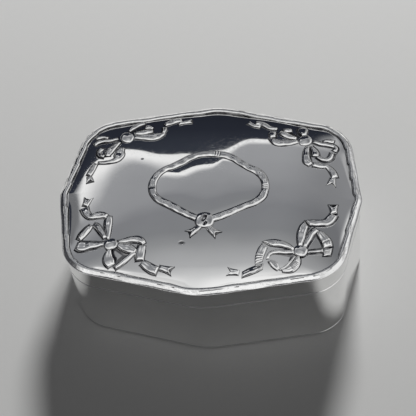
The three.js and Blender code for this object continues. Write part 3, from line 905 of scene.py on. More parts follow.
class TRINKET_OT_wall(bpy.types.Operator):
    """Wall of the box, leaning in a little towards its foot"""

    bl_idname = "trinket.wall"
    bl_label = "Wall"

    def execute(self, context):
        b = sizes("body")
        low, high = WALL_LOW.z, WALL_HIGH.z
        lean = [(part, b.wall_inset + b.wall_lean * (1 - part)) for part in (0.0, 0.25, 0.5, 0.75, 1.0)]
        outer = [(inset, low + (high - low - b.edge) * part) for part, inset in lean]
        section = outer + [
            (b.wall_inset + b.edge, high),
            (b.wall_inset + b.wall_thickness - b.edge, high),
            (b.wall_inset + b.wall_thickness, high - b.edge),
            (b.wall_inset + b.wall_lean + b.wall_thickness, low),
        ]
        piece = shell("wall_sheet", section)
        relieve(piece)
        dress(piece, 25, "box", "silver", "body_wall")
        return {"FINISHED"}


class TRINKET_OT_bezel(bpy.types.Operator):
    """Bezel inside the wall that locates the lid"""

    bl_idname = "trinket.bezel"
    bl_label = "Bezel"

    def execute(self, context):
        b = sizes("body")
        low, high = BEZEL_LOW.z, BEZEL_HIGH.z
        outer = sizes("plan").depth / 2 - BEZEL_HIGH.y
        inner = outer + b.bezel_thickness
        section = [
            (outer, low),
            (outer, high - 2 * b.edge),
            (outer + b.edge, high - b.edge / 2),
            (outer + 2 * b.edge, high),
            (inner - b.edge, high),
            (inner, high - b.edge),
            (inner, low),
        ]
        piece = shell("bezel_sheet", section)
        dress(piece, 25, "box", "inner", "body_bezel")
        return {"FINISHED"}


class TRINKET_OT_skirt(bpy.types.Operator):
    """Upright skirt of the lid"""

    bl_idname = "trinket.skirt"
    bl_label = "Skirt"

    def execute(self, context):
        b = sizes("body")
        thickness = sizes("lid").skirt_thickness
        low, high = SKIRT_LOW.z, SKIRT_HIGH.z
        section = [
            (b.wall_inset + b.edge, low),
            (b.wall_inset, low + b.edge),
            (b.wall_inset, (low + high) / 2),
            (b.wall_inset, high),
            (b.wall_inset + thickness, high),
            (b.wall_inset + thickness, low + b.edge),
            (b.wall_inset + thickness - b.edge, low),
        ]
        piece = shell("skirt_sheet", section)
        relieve(piece)
        dress(piece, 25, "lid", "silver", "lid_skirt")
        return {"FINISHED"}


class TRINKET_OT_cushion(bpy.types.Operator):
    """Stamped top: a flat margin under the border and a cushion that swells again inside the cartouche"""

    bl_idname = "trinket.cushion"
    bl_label = "Cushion"

    # The level lines that the sheet's top and underside are drawn through.
    OVER_SHARES = [1 - 0.0125 * i for i in range(17)] + [0.79 - 0.0215 * i for i in range(1, 36)] + [0.018]
    UNDER_SHARES = [0.02, 0.15, 0.3, 0.45, 0.6, 0.72, 0.82, 0.9, 0.96, 1.0]
    # How dark the crease at the cushion's edge is painted: painted shade and patina.
    CREASE_PATINA_AND_SHADE = 0.3

    def execute(self, context):
        lid = sizes("lid")
        top = Top()
        over = [top.ring(part) for part in self.OVER_SHARES]
        under = [top.ring(part, lid.sheet) for part in self.UNDER_SHARES]
        margin = outline(lid.margin_inset)
        rings = under + [at_height(margin, lid.flat_top - lid.sheet), at_height(margin, lid.flat_top)] + over
        depths = [0.0] * (len(under) + 2) + [self.CREASE_PATINA_AND_SHADE] + [0.0] * (len(over) - 1)
        hollows = [[depth] * len(margin) for depth in depths]
        piece = drawn_out("cushion_sheet", rings, hollows=hollows, first="MERGE", last="MERGE")
        dress(piece, 60, "lid", "cushion", "lid_plate")
        return {"FINISHED"}


def border_section():
    """The border's section, from the painted dark line on its inner side over its top and down its sloping
    outer
    side: how far in, the height or None for the sheet's own, how far it follows the wander of the inner
    and of the outer edge, how far it tilts, and how dark it is painted with painted shade and patina."""
    lid, brim = sizes("lid"), sizes("ribbons").brim
    width, foot = lid.border_width, lid.flat_top + BORDER_SEAT - 0.0003
    low, high = BORDER_LOW.z, BORDER_HIGH.z
    return [
        (width + brim, None, 1.0, 0.0, 0.0, 0.1),
        (width + 0.75 * brim, None, 1.0, 0.0, 0.0, 0.9),
        (width + 0.00004, None, 1.0, 0.0, 0.0, 1.0),
        (width - 0.00003, high - 0.0005, 1.0, 0.0, 0.3, 0.6),
        (width - 0.00014, high - 0.0003, 1.0, 0.0, 0.1, 0.0),
        (width - 0.00034, high - 0.00015, 1.0, 0.0, 0.1, 0.0),
        (width - 0.00056, high - 0.00007, 1.0, 0.0, 0.1, 0.0),
        (width - 0.00082, high - 0.00004, 0.9, 0.0, 0.1, 0.0),
        (width - 0.0011, high - 0.00006, 0.75, 0.1, 0.1, 0.0),
        (0.00173, high - 0.00014, 0.6, 0.25, 0.0, 0.0),
        (0.00146, high - 0.00028, 0.4, 0.4, -0.4, 0.0),
        (0.00118, high - 0.00046, 0.2, 0.6, -0.8, 0.0),
        (0.0009, high - 0.00066, 0.0, 0.8, -1.0, 0.0),
        (0.00062, high - 0.00084, 0.0, 1.0, -1.0, 0.0),
        (0.00038, high - 0.00103, 0.0, 1.0, -0.6, 0.0),
        (0.00022, high - 0.00124, 0.0, 1.0, -0.2, 0.0),
        (0.0001, low + 0.0004, 0.0, 1.0, 0.0, 0.0),
        (0.00012, low + 0.00015, 0.0, 1.0, 0.0, 0.1),
        (0.00025, low, 0.0, 1.0, 0.0, 0.6),
        (0.0009, low, 0.0, 0.0, 0.0, 1.0),
        (0.0009, foot, 0.0, 0.0, 0.0, 1.0),
        (width, foot, 1.0, 0.0, 0.0, 1.0),
    ]


def border_wander(a, side):
    """The wander of the border's inner and outer edge, its tilt and its creases at an angle round the
    plan. Side is 1 at the side points and 0 at the front and back: towards 1 the inner edge goes in
    short runs, each with a crease at its end."""
    swing = 0.5 + 0.3 * math.sin(13 * a + 1.5 * math.sin(3 * a + 1)) + 0.2 * math.sin(29 * a + 0.7)
    sway = 0.5 + 0.35 * math.sin(11 * a + 1.2 * math.sin(4 * a)) + 0.15 * math.sin(31 * a + 2)
    tilt = math.sin(12 * a + 2 * math.sin(2 * a + 0.5)) + 0.5 * math.sin(27 * a)
    run = (34 * a / math.tau + 0.5 * math.sin(3 * a + 0.4)) % 1.0
    swing += side * (1.3 * (run if run < 0.9 else 9 * (1 - run)) - swing)
    return swing, sway, tilt, side * max(0.0, run - 0.9) * 10


class TRINKET_OT_border(bpy.types.Operator):
    """Ribbon border laid over the margin, with a sloping outer side and an inner edge that wanders"""

    bl_idname = "trinket.border"
    bl_label = "Border"

    # Points round the border, and how far its section tilts, sinks where it tilts, and sinks in a crease.
    POINTS = 600
    TILT, FLATTENING, CREASE = 0.00009, 0.00005, 0.00012
    # The wander of the outer edge as a share of the inner one's, and how dark a crease is painted, as
    # painted shade and patina.
    OUTER_SHARE, CREASE_SHARE = 0.4, 0.7

    def execute(self, context):
        lid, half_width = sizes("lid"), sizes("plan").width / 2
        wave = lid.border_wave
        top = Top()
        middle = evenly(outline(lid.border_width / 2), self.POINTS)
        wander = [
            border_wander(math.tau * i / self.POINTS, (abs(m.x) / half_width) ** 4)
            for i, m in enumerate(middle)
        ]
        rings, hollows = [], []
        for inset, z, inner, outer, twist, depth in border_section():
            ring, hollow = [], []
            edge = evenly(outline(inset), self.POINTS)
            for p, m, (swing, sway, tilt, crease) in zip(edge, middle, wander):
                in_by = wave * swing * inner + self.OUTER_SHARE * wave * sway * outer
                drift = (m - p).normalized() * in_by
                at = p + drift if (m - p).length > 1e-6 else p
                if z is None:
                    height = top(at.x, at.y) + RIBBON_SEAT
                else:
                    up = self.TILT * twist * tilt - self.FLATTENING * abs(twist)
                    height = min(z + up - self.CREASE * crease * inner, BORDER_HIGH.z)
                ring.append((at.x, at.y, height))
                # The dark line and the creases are painted shade and patina.
                hollow.append(max(depth, self.CREASE_SHARE * min(1.0, crease * inner)))
            rings.append(ring)
            hollows.append(hollow)
        piece = drawn_out("border_ribbon", rings, joined=True, hollows=hollows)
        dress(piece, 60, "lid", "hammered", "lid_border")
        return {"FINISHED"}


# A ribbon's edge: metres in from the edge, height as a share of the relief, and how dark it is painted.
# Outside the edge lies a dark line painted along the ribbon's foot, painted shade and patina, and inside it
# the edge rounds over to the flat.
RIBBON_EDGE = [
    (-0.00005, 0.03, 1.0), (0.0, 0.34, 0.6), (0.0001, 0.52, 0.0), (0.00024, 0.68, 0.0), (0.00042, 0.84, 0.0),
    (0.00062, 0.95, 0.0), (0.0008, 1.0, 0.0),
]

# How far the feet of ribbons and border stand over the sheet.
RIBBON_SEAT = 0.00003
BORDER_SEAT = 0.00005

# A ribbon narrower than this, from its middle to its edge, is lower and has a narrower edge. Its height
# ripples along it, and no two of its sections are closer than the closest step.
FULL_HALF_WIDTH = 0.001
RIPPLE_LENGTH = 0.0041
CLOSEST_STEP = 0.00002

# How many half widths of a ribbon its slanted or forked end takes, how deep a fork goes and how far its
# points spread, and how deep a ribbon is scored, as a share of its relief.
END_SHARE = 2.2
FORK_SHARE, SPREAD_SHARE = 0.85, 0.15
SCORE_SHARE = 0.22


def edge_at(inward):
    """The height share and how dark it is painted, with painted shade and patina, at some way in from a
    ribbon's edge.
    """
    if inward <= RIBBON_EDGE[0][0]:
        return 0.0, 1.0
    for (near, low, deep), (far, high, shallow) in zip(RIBBON_EDGE, RIBBON_EDGE[1:]):
        if inward <= far:
            part = (inward - near) / (far - near)
            return low + (high - low) * part, deep + (shallow - deep) * part
    return 1.0, 0.0


def stations(path, closed, marks):
    """Even steps along a ribbon's middle line, closer where it is scored, and past its ends the steps
    that its edge needs: distance, place, direction and half width."""
    r = sizes("ribbons")
    ends = path[1:] + path[:1] if closed else path[1:]
    runs, total = [], 0.0
    for a, b in zip(path, ends):
        run = math.hypot(b[0] - a[0], b[1] - a[1])
        runs.append((total, run, a, b))
        total += run
    count = round(total / r.step)
    wanted = [total * i / count for i in range(count + (not closed))]
    for start, stop, strokes in marks:
        parts = strokes * 6
        wanted += [total * (start + (stop - start) * i / parts) for i in range(parts + 1)]
    if not closed:
        edges = [-r.brim, -0.7 * r.brim] + [inward for inward, _, _ in RIBBON_EDGE]
        wanted = [d for d in wanted if edges[-1] < d < total - edges[-1]]
        wanted += edges + [total - d for d in edges]
    out, index = [], 0
    for distance in sorted(wanted):
        if out and distance - out[-1][0] < CLOSEST_STEP:
            continue
        while index < len(runs) - 1 and runs[index][0] + runs[index][1] < distance:
            index += 1
        before, run, a, b = runs[index]
        part = (distance - before) / run
        along = Vector((b[0] - a[0], b[1] - a[1])).normalized()
        place = Vector(a[:2]) + along * (distance - before)
        out.append((distance, place, along, a[2] + (b[2] - a[2]) * max(0.0, min(1.0, part))))
    return out, total


def ribbon_section(half, pinch, brims):
    """A ribbon's section from left to right, then back under it: how far across, height share, and how dark
    it is painted with painted shade and patina.
    """
    edge = [(half - min(inward, inward * pinch), high, deep) for inward, high, deep in RIBBON_EDGE]
    flat = edge[-1][0]
    section = [(half + brims[0], 0.0, 0.1), (half + brims[0] * 0.7, 0.0, 0.62), *edge]
    section += [(flat * part, 1.0, 0.0) for part in (0.72, 0.48, 0.24, 0.0, -0.24, -0.48, -0.72)]
    section += [(-across, high, deep) for across, high, deep in reversed(edge)]
    section += [(-half - brims[1] * 0.7, 0.0, 0.62), (-half - brims[1], 0.0, 0.1)]
    return section + [(-half, -1.0, 1.0), (half, -1.0, 1.0)]


def ribbon(name, path, top, closed=False, forked=False, cut=(0.0, 0.0), brims=None, bank=0.0, marks=()):
    """A stamped ribbon along (x, y, half width) places, raised from the lid's sheet, with a painted dark
    line round it and wider painted shadows where its brims ask for them, both painted shade and patina. Cut
    is the slant of its two ends, bank lifts its left side, and marks are where it is scored."""
    r = sizes("ribbons")
    brims = brims or (r.brim, r.brim)
    steps, total = stations(path, closed, marks)
    rings, hollows = [], []
    for distance, place, along, half in steps:
        side = Vector((-along.y, along.x))
        left = total - distance
        pinch = min(1.0, half / FULL_HALF_WIDTH)
        relief = r.relief * (0.45 + 0.55 * pinch)
        end_high, end_deep = (1.0, 0.0) if closed else edge_at(min(distance, left))
        near_start, near_end = (max(0.0, 1 - max(way, 0.0) / (END_SHARE * half)) for way in (distance, left))
        fork = near_end if forked else 0.0
        slant = near_start * cut[0] + near_end * cut[1]
        scoring = 0.0
        for start, stop, strokes in marks:
            if start < distance / total < stop:
                done = (distance / total - start) / (stop - start)
                scoring = 0.5 - 0.5 * math.cos(math.tau * strokes * done)
        swell = 1 + r.ripple * math.sin(math.tau * distance / RIPPLE_LENGTH)
        ring, hollow = [], []
        for across, high, deep in ribbon_section(half, pinch, brims):
            part = max(-1.0, min(1.0, across / half))
            middle = place + along * (slant * across - fork * FORK_SHARE * half * (1 - abs(part)))
            at = middle + side * across * (1 + SPREAD_SHARE * fork * fork)
            sheet = top(at.x, at.y)
            if high < 0:
                up = -r.root
            else:
                high = min(high, end_high)
                flute = math.cos(math.tau * 1.6 * part) * r.flute if high == 1 else 0.0
                scored = scoring * (high > 0.8)
                up = RIBBON_SEAT + relief * high * (1 + bank * part) * swell - flute
                up += (top(middle.x, middle.y) - sheet) * r.level * high - SCORE_SHARE * r.relief * scored
                # Scored strokes are painted half dark and the ends take the dark foot line: painted shade
                # and patina.
                deep = max(deep, end_deep, 0.5 * scored)
            ring.append((at.x, at.y, sheet + up))
            hollow.append(deep)
        rings.append(ring)
        hollows.append(hollow)
    return drawn_out(name, rings, joined=closed, hollows=hollows)


# A knot's shape, for a ball of radius 1: how square its plan is, how flat its top, how far it reaches
# into the sheet, and the height where its painted dark foot, painted shade and patina where it meets the
# sheet, starts to fade and the height over which it does.
KNOT_SQUARENESS = 2.3
KNOT_FLATNESS = 0.64
KNOT_ROOT = -0.12
KNOT_FOOT, KNOT_FADE = 0.15, 0.3

# Width, depth and height of the knots in metres, and the turn of a bow's knot in radians.
BOW_KNOT = (0.0052, 0.0047, 0.0011)
BOW_KNOT_TURN = 0.45
CARTOUCHE_KNOT = (0.0071, 0.0068, 0.0013)

# The two marks in the cartouche's knot: the middle across and along, the lean, half the size across and
# along, the depth, and how much of the mark is painted dark, as painted shade and patina in its recess. All
# but the last are shares of the knot's half size or, for the depth, of its height.
KNOT_EYE_SHARES = [(-0.08, 0.12, 0.25, 0.3, 0.52, 0.36, 0.85), (0.35, -0.55, 0.4, 0.2, 0.3, 0.25, 0.9)]


def knot(name, x, y, size, turn, top, eyes=()):
    """A knot: a rounded block sunk into the sheet, with eyes or scored by the wrap of the ribbon."""
    clear_selection()
    bpy.ops.mesh.primitive_uv_sphere_add(segments=56, ring_count=36, radius=1.0)
    piece = bpy.context.object
    piece.name = name
    bpy.ops.object.mode_set(mode="EDIT")
    mesh = bmesh.from_edit_mesh(piece.data)
    layer = mesh.verts.layers.float.new("hollow")
    spin = Matrix.Rotation(turn, 2)
    base = top(x, y)
    for vertex in mesh.verts:
        u, v, w = vertex.co
        away = math.hypot(u, v)
        if away > 1e-6:
            square = away / (abs(u) ** KNOT_SQUARENESS + abs(v) ** KNOT_SQUARENESS) ** (1 / KNOT_SQUARENESS)
            u, v = u * square, v * square
        flat = max(KNOT_ROOT, math.copysign(abs(w) ** KNOT_FLATNESS, w))
        # The foot is painted dark: painted shade and patina where the knot meets the sheet.
        depth = 1.0 - min(1.0, max(0.0, (flat - KNOT_FOOT) / KNOT_FADE))
        if not eyes:
            flat += 0.025 * math.cos(v * 7.0) * max(w, 0.0)
        # Each eye is sunk and painted dark inside: painted shade and patina.
        for u0, v0, lean, half_u, half_v, deep, dark in eyes if w > 0 else ():
            out = math.hypot((u - u0 - lean * v) / half_u, (v - v0) / half_v)
            flat -= deep * max(0.0, 1 - out * out)
            depth = 1.0 if out < dark else depth
        place = spin @ Vector((u * size[0] / 2, v * size[1] / 2))
        vertex.co = (x + place.x, y + place.y, base + flat * size[2])
        vertex[layer] = depth
    bmesh.update_edit_mesh(piece.data)
    bpy.ops.object.mode_set(mode="OBJECT")
    return piece


class TRINKET_OT_bows(bpy.types.Operator):
    """Bows of folded ribbon: the strips of the first are copied and mirrored into the four corners, where
    some strips have a shape of their own"""

    bl_idname = "trinket.bows"
    bl_label = "Corner bows"

    def execute(self, context):
        r = sizes("ribbons")
        top = Top()
        first = {part: self.strip(part, shares, top) for part, shares in BOW_SHARES.items()}
        first["knot"] = knot("bow_knot", r.bow_out, r.bow_forward, BOW_KNOT, BOW_KNOT_TURN, top)
        for name, (across, along, out, back) in BOW_CORNER_SHARES.items():
            own = OWN_SHARES.get(name, {})
            here = (across * r.bow_out, along * r.bow_forward)
            there = (here[0] + out * r.bow_size, here[1] + back * r.bow_size)
            shift = (there[0] - here[0], there[1] - here[1], top(*there) - top(*here))
            copies = []
            for part, piece in first.items():
                if own.get(part):
                    piece = self.strip(part, own[part], top, (across * out, along * back))
                    copies.append(mirrored_copy(piece, across, along))
                    bpy.data.objects.remove(piece)
                elif part not in own:
                    copies.append(mirrored_copy(piece, across, along, shift))
            dress(joined_pieces(name, copies), 75, "lid", "chased")
        for piece in first.values():
            bpy.data.objects.remove(piece)
        return {"FINISHED"}

    def strip(self, part, shares, top, off=None):
        """One strip of ribbon between two folds, in the corner at the back right. A bow's own strip is off
        the nominal place, with its ends square, no bank and no scoring."""
        r = sizes("ribbons")
        first, last, left, right, bank = BOW_CUT_SHARES[part]
        marks = [BOW_SCORE_SHARES[part]] if part in BOW_SCORE_SHARES else ()
        if off:
            first, last, bank, marks = 0.0, 0.0, 0.0, ()
        out, back = off or (0.0, 0.0)
        x, y = r.bow_out + out * r.bow_size, r.bow_forward + back * r.bow_size
        path = [(x + u * r.bow_size, y + v * r.bow_size, w * r.bow_size * r.fullness) for u, v, w in shares]
        return ribbon(
            "bow_" + part, smooth(path, 8), top, forked=part in FORKED, cut=(first, last),
            brims=(left * r.bow_size, right * r.bow_size), bank=bank, marks=marks,
        )


class TRINKET_OT_cartouche(bpy.types.Operator):
    """Tied ribbon cartouche in the middle of the lid"""

    bl_idname = "trinket.cartouche"
    bl_label = "Cartouche"

    def execute(self, context):
        r = sizes("ribbons")
        top = Top()
        half = r.cartouche_ribbon / 2
        ring = cartouche_outline()
        path = [
            (p.x, p.y + r.cartouche_back, half * (0.93 + 0.07 * math.sin(7 * math.tau * i / len(ring))))
            for i, p in enumerate(ring)
        ]
        pieces = [ribbon("cartouche_ring", path, top, closed=True, marks=CARTOUCHE_MARK_SHARES)]
        low = r.cartouche_back - r.cartouche_forward
        brim = TAIL_BRIM_SHARE * r.brim
        for sign in (-1, 1):
            tail = [(sign * out, low - down, half * wide) for out, down, wide in CARTOUCHE_TAIL]
            pieces.append(ribbon(
                "cartouche_tail", smooth(tail, 9), top, forked=True, brims=(brim, brim),
                bank=-TAIL_BANK_SHARE * sign,
            ))
        pieces.append(knot("cartouche_knot", 0.0, low, CARTOUCHE_KNOT, 0.0, top, KNOT_EYE_SHARES))
        dress(joined_pieces("cartouche_ribbon", pieces), 75, "lid", "chased")
        return {"FINISHED"}


def knuckle(number):
    """The body and the node of one of the five knuckles, numbered from the left."""
    body, part = ("box", "body") if number % 2 else ("lid", "lid")
    return body, part + "_knuckle_" + str(number)


def along_pin(name, low, high, end, joined=False):
    """A turned piece on the hinge's axis, with two like ends, each given as (way in, radius)."""
    turns = [math.tau * i / sizes("hinge").steps for i in range(sizes("hinge").steps)]
    section = [(low + inward, radius) for inward, radius in end]
    section += [(high - inward, radius) for inward, radius in reversed(end)]
    return drawn_out(name, [
        [(x, PIN_Y + radius * math.cos(a), PIN_Z + radius * math.sin(a)) for a in turns]
        for x, radius in section
    ], joined)


class TRINKET_OT_hinge(bpy.types.Operator):
    """Five bored knuckles on a pin, and the bearers that carry them"""

    bl_idname = "trinket.hinge"
    bl_label = "Hinge"

    # The pin's rounded ends: way in, in metres, and radius as a share of the pin's.
    PIN_END = [(0.0, 0.55), (0.0001, 0.85), (0.00022, 1.0)]
    # A bearer's gap of solder, how far it lies in the wall, and the height of its rounded shoulder.
    SOLDER, INTO_WALL, SHOULDER = 0.00005, 0.0003, 0.0013
    ARC_STEPS, SHOULDER_STEPS, KNUCKLE_STEPS = 14, 9, 4

    def execute(self, context):
        h, edge = sizes("hinge"), sizes("body").edge
        for number in range(1, 6):
            body, node = knuckle(number)
            low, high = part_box(node)
            end = [(0.0, h.bore), (0.0, h.radius - edge), (edge / 2, h.radius - edge / 4), (edge, h.radius)]
            piece = along_pin("knuckle_" + str(number), low.x, high.x, end, joined=True)
            dress(piece, 40, body, "silver", node)
        end = [(inward, h.pin * part) for inward, part in self.PIN_END]
        pin = along_pin("pin_rod", PIN_LOW.x, PIN_HIGH.x, end)
        dress(pin, 50, "box", "steel", "hinge_pin")
        self.bearer("bearer_low", "body_hinge_bearer", "box", -1)
        self.bearer("bearer_high", "lid_hinge_bearer", "lid", 1)
        return {"FINISHED"}

    def bearer(self, name, node, body, sign):
        """A rail between the wall and the knuckles, with a rounded shoulder away from the seam and a
        round trough for the knuckles; sign is 1 above the seam and -1 below it."""
        h = sizes("hinge")
        low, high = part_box(node)
        far, near = (high.z, low.z) if sign > 0 else (low.z, high.z)
        wall = sorted((p.x, p.y) for p in outline(sizes("body").wall_inset) if p.y > 0)
        places = []
        for number in range(1, 6):
            owner, carried = knuckle(number)
            left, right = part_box(carried)
            start = low.x if number == 1 else left.x
            stop = high.x if number == 5 else right.x
            radius = h.radius + (self.SOLDER if owner == body else h.clearance)
            steps = self.KNUCKLE_STEPS
            places += [(start + (stop - start) * i / steps, radius) for i in range(steps + 1)]
        rings = []
        for x, radius in places:
            (x0, y0), (x1, y1) = next(pair for pair in zip(wall, wall[1:]) if pair[0][0] <= x <= pair[1][0])
            face = y0 + (y1 - y0) * (x - x0) / (x1 - x0)
            inner = face - self.INTO_WALL
            begin = math.asin(max(0.0, sign * (near - PIN_Z)) / radius)
            foot = near
            if inner > PIN_Y - radius * math.cos(begin):
                begin = math.acos((PIN_Y - inner) / radius)
                foot = PIN_Z + sign * (radius * math.sin(begin) + 0.00002)
            end = math.acos((PIN_Y - high.y) / radius)
            arc = [begin + (end - begin) * i / self.ARC_STEPS for i in range(self.ARC_STEPS + 1)]
            ring = [(x, inner, far), (x, inner, foot)]
            ring += [(x, PIN_Y - radius * math.cos(a), PIN_Z + sign * radius * math.sin(a)) for a in arc]
            shoulder = high.y - face
            for i in range(1, self.SHOULDER_STEPS + 1):
                a = math.pi / 2 * i / self.SHOULDER_STEPS
                down = self.SHOULDER * (1 - math.sin(a))
                ring.append((x, high.y - shoulder * (1 - math.cos(a)), far - sign * down))
            rings.append(ring)
        dress(drawn_out(name, rings), 40, body, "silver", node)


# The studio's colours that the silver mirrors, from the horizon, 0, to overhead, 1.
GREY_OVERHEAD = [
    (0.0, (0.05, 0.05, 0.055)), (0.45, (0.1, 0.1, 0.105)), (0.6, (0.33, 0.335, 0.35)),
    (0.71, (0.32, 0.325, 0.34)), (0.775, (0.29, 0.295, 0.31)), (0.81, (0.22, 0.225, 0.24)),
    (0.865, (0.222, 0.228, 0.24)), (0.9, (0.28, 0.285, 0.295)), (0.93, (0.36, 0.365, 0.375)),
    (0.965, (0.43, 0.435, 0.445)), (0.985, (0.62, 0.625, 0.63)), (1.0, (0.86, 0.86, 0.86)),
]
DARK_SCREEN = [(0.0, (0.012, 0.014, 0.02)), (0.5, (0.02, 0.023, 0.033)), (0.66, (0.032, 0.037, 0.05))]
FRONT_WALL = [
    (0.0, (0.05, 0.05, 0.055)), (0.5, (0.08, 0.08, 0.085)), (0.62, (0.3, 0.3, 0.31)),
    (0.7, (0.95, 0.95, 0.95)), (0.9, (1.0, 1.0, 1.0)), (1.0, (0.9, 0.9, 0.9)),
]
RIGHT_WALL = [
    (0.0, (0.22, 0.22, 0.225)), (0.2, (0.5, 0.5, 0.51)), (0.45, (0.86, 0.86, 0.86)),
    (1.0, (0.86, 0.86, 0.86)),
]
WINDOW_WHITE = (0.86, 0.86, 0.86)
STUDIO_FILL = (0.1, 0.1, 0.102)
BACKDROP = (0.62, 0.62, 0.62)

# The soft lamp stands behind the box, to the right of its middle.
LAMP_DIRECTION = (0.12, 0.95, 0.72)
LAMP_WATTS = 17.0

# The camera, fitted to the photograph: yaw, pitch and roll in degrees, the box's place before it in
# metres, and the focal length and the picture's width in pixels.
CAMERA_ANGLES = (-12.41, 52.46, -8.69)
CAMERA_SHIFT = (0.00374, 0.01796, 0.551)
FOCAL_PIXELS, PICTURE_PIXELS = 1453, 416
SENSOR_MM = 36.0


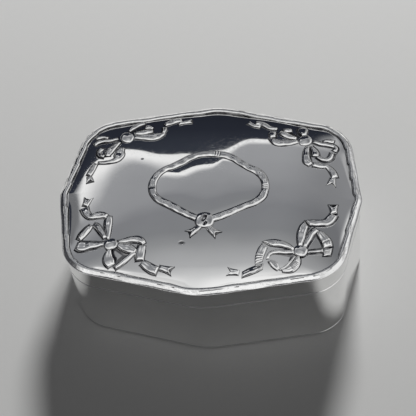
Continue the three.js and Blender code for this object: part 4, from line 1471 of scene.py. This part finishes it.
class TRINKET_OT_stage(bpy.types.Operator):
    """Plain pale floor, soft studio light and the camera"""

    bl_idname = "trinket.stage"
    bl_label = "Stage"

    def execute(self, context):
        scene = context.scene
        s = sizes("stage")
        scene.view_settings.view_transform = "Standard"
        clear_selection()
        bpy.ops.mesh.primitive_plane_add(size=s.floor_size)
        floor = bpy.context.object
        floor.name = "floor"
        paper = bpy.data.materials.new("floor_paper")
        t = Tree(paper)
        place = t.add("ShaderNodeTexCoord").outputs["Object"]
        grain = t.noise(place, 300.0, 2.0)
        tone = t.mix(grain, opaque([c * 0.98 for c in s.floor]), opaque(s.floor))
        shader = t.add("ShaderNodeBsdfPrincipled", Base_Color=tone, Roughness=0.9)
        t.add("ShaderNodeOutputMaterial", Surface=shader.outputs[0])
        floor.data.materials.append(paper)
        self.light(s)
        self.surroundings(scene)
        self.camera(scene)
        return {"FINISHED"}

    def light(self, s):
        """A soft lamp behind the box, to the right, which the metal itself doesn't mirror. The box's
        shadow then lies where the front walls mirror the floor."""
        towards = Vector(LAMP_DIRECTION).normalized()
        bpy.ops.object.light_add(type="AREA", location=towards * s.lamp_distance)
        lamp = bpy.context.object
        lamp.name = "soft_lamp"
        lamp.data.shape = "DISK"
        lamp.data.size = s.lamp_size
        lamp.data.energy = LAMP_WATTS
        lamp.rotation_euler = towards.to_track_quat("Z", "Y").to_euler()
        lamp.visible_glossy = False

    def surroundings(self, scene):
        """A studio whose walls the silver mirrors: a dark screen behind with a white window on its edge,
        even grey overhead, and paler walls in front and at the right."""
        world = bpy.data.worlds.new("studio")
        scene.world = world
        t = Tree(world)
        ray = t.add("ShaderNodeLightPath").outputs
        towards = t.add("ShaderNodeTexCoord").outputs["Generated"]
        x, y, z = t.add("ShaderNodeSeparateXYZ", Vector=towards).outputs
        # The back half of the studio, but for its right end and a strip at its far left.
        back_side = t.times(
            t.spread(y, -0.15, 0.15), t.spread(x, 0.35, 0.62, 1.0, 0.0), t.spread(x, -0.92, -0.8),
        )
        # How far a direction lies over the edge of the dark screen, which rises to the right and then
        # steps down.
        edge = t.spread(x, -0.36, -0.17, 0.597, 0.691)
        edge = t.maths("SUBTRACT", edge, t.spread(x, -0.135, -0.075, 0.0, 0.093))
        over = t.maths("SUBTRACT", z, edge)
        # The white window on that edge, widest at the left.
        reach = t.maths("ADD", t.spread(x, -0.2, -0.09, 0.07, 0.045), t.spread(x, -0.4, -0.26, 0.06, 0.0))
        window = t.times(
            t.spread(over, t.times(reach, 0.35), reach, 1.0, 0.0), t.spread(x, -0.515, -0.475),
            t.spread(x, -0.06, 0.02, 1.0, 0.25),
        )
        # Even grey overhead, darker low on the left and a little to the right.
        shade = t.maths("MAXIMUM", t.spread(x, -0.53, -0.46, 0.5, 1.0), t.spread(z, 0.67, 0.75, 0.5, 1.0))
        shade = t.times(shade, t.spread(x, 0.0, 0.2, 1.0, 0.75))
        shade = t.add("ShaderNodeCombineColor", Red=shade, Green=shade, Blue=shade).outputs[0]
        overhead = t.mix(1.0, self.wall(t, z, GREY_OVERHEAD), shade, "MULTIPLY")
        hidden = t.times(t.spread(over, -0.004, 0.004, 1.0, 0.0), t.spread(x, 0.08, 0.15, 1.0, 0.0))
        back = t.mix(hidden, t.mix(window, overhead, opaque(WINDOW_WHITE)), self.wall(t, z, DARK_SCREEN))
        # The front half and the right end, with soft screens before them.
        front = t.mix(t.spread(x, 0.35, 0.6), self.wall(t, z, FRONT_WALL), self.wall(t, z, RIGHT_WALL))
        screens = t.spread(t.noise(towards, 5.0, 1.0), 0.4, 0.55, 0.72, 1.0)
        mirrored = t.mix(back_side, t.mix(1.0, front, screens, "MULTIPLY"), back)
        fill = t.mix(ray["Is Glossy Ray"], opaque(STUDIO_FILL), mirrored)
        seen = t.mix(ray["Is Camera Ray"], fill, opaque(BACKDROP))
        background = t.add("ShaderNodeBackground", Color=seen, Strength=1.0)
        t.add("ShaderNodeOutputWorld", Surface=background.outputs[0])

    def wall(self, t, level, stops):
        """A colour for each height from the horizon, 0, to overhead, 1."""
        ramp = t.add("ShaderNodeValToRGB", Fac=level)
        band = ramp.color_ramp
        while len(band.elements) < len(stops):
            band.elements.new(1.0)
        for element, (at, rgb) in zip(band.elements, stops):
            element.position = at
            element.color = opaque(rgb)
        return ramp.outputs["Color"]

    def camera(self, scene):
        """The photograph's own viewpoint: three quarters from above, a little from the right."""
        yaw, pitch, roll = (math.radians(a) for a in CAMERA_ANGLES)
        turn = Matrix.Rotation(yaw, 3, "Z")
        forward = Vector((0, math.cos(pitch), -math.sin(pitch)))
        right = Vector((1, 0, 0))
        up = right.cross(forward)
        look = Matrix.Rotation(roll, 3, "Z") @ Matrix((right, -up, forward)) @ turn
        place = -(look.transposed() @ Vector(CAMERA_SHIFT))
        bpy.ops.object.camera_add()
        camera = bpy.context.object
        rows = [(look[0][i], -look[1][i], -look[2][i], place[i]) for i in range(3)]
        camera.matrix_world = Matrix((*rows, (0, 0, 0, 1)))
        camera.data.sensor_width = SENSOR_MM
        camera.data.lens = FOCAL_PIXELS / PICTURE_PIXELS * SENSOR_MM
        camera.data.clip_start = 0.01
        camera.data.clip_end = 20.0
        scene.camera = camera


STEPS = (
    TRINKET_OT_base, TRINKET_OT_wall, TRINKET_OT_bezel, TRINKET_OT_skirt, TRINKET_OT_cushion,
    TRINKET_OT_border, TRINKET_OT_bows, TRINKET_OT_cartouche, TRINKET_OT_hinge, TRINKET_OT_stage,
)


class TRINKET_PT_panel(bpy.types.Panel):
    """Sizes, colours and the steps that make the box"""

    bl_idname = "TRINKET_PT_panel"
    bl_label = "Trinket box"
    bl_space_type = "VIEW_3D"
    bl_region_type = "UI"
    bl_category = "Trinket box"

    def draw(self, context):
        for group in GROUPS:
            column = self.layout.box().column()
            values = getattr(context.scene, group)
            for name in values.bl_rna.properties.keys():
                if name not in ("rna_type", "name"):
                    column.prop(values, name)
        for step in STEPS:
            self.layout.operator(step.bl_idname)


CLASSES = (*GROUPS.values(), *STEPS, TRINKET_PT_panel)


def register():
    for kind in CLASSES:
        bpy.utils.register_class(kind)
    for name, group in GROUPS.items():
        setattr(bpy.types.Scene, name, PointerProperty(type=group))


def unregister():
    for name in GROUPS:
        delattr(bpy.types.Scene, name)
    for kind in reversed(CLASSES):
        bpy.utils.unregister_class(kind)


def main():
    register()
    bpy.ops.trinket.base()
    bpy.ops.trinket.wall()
    bpy.ops.trinket.bezel()
    bpy.ops.trinket.skirt()
    bpy.ops.trinket.cushion()
    bpy.ops.trinket.border()
    bpy.ops.trinket.bows()
    bpy.ops.trinket.cartouche()
    bpy.ops.trinket.hinge()
    bpy.ops.trinket.stage()


if __name__ == "__main__":
    main()
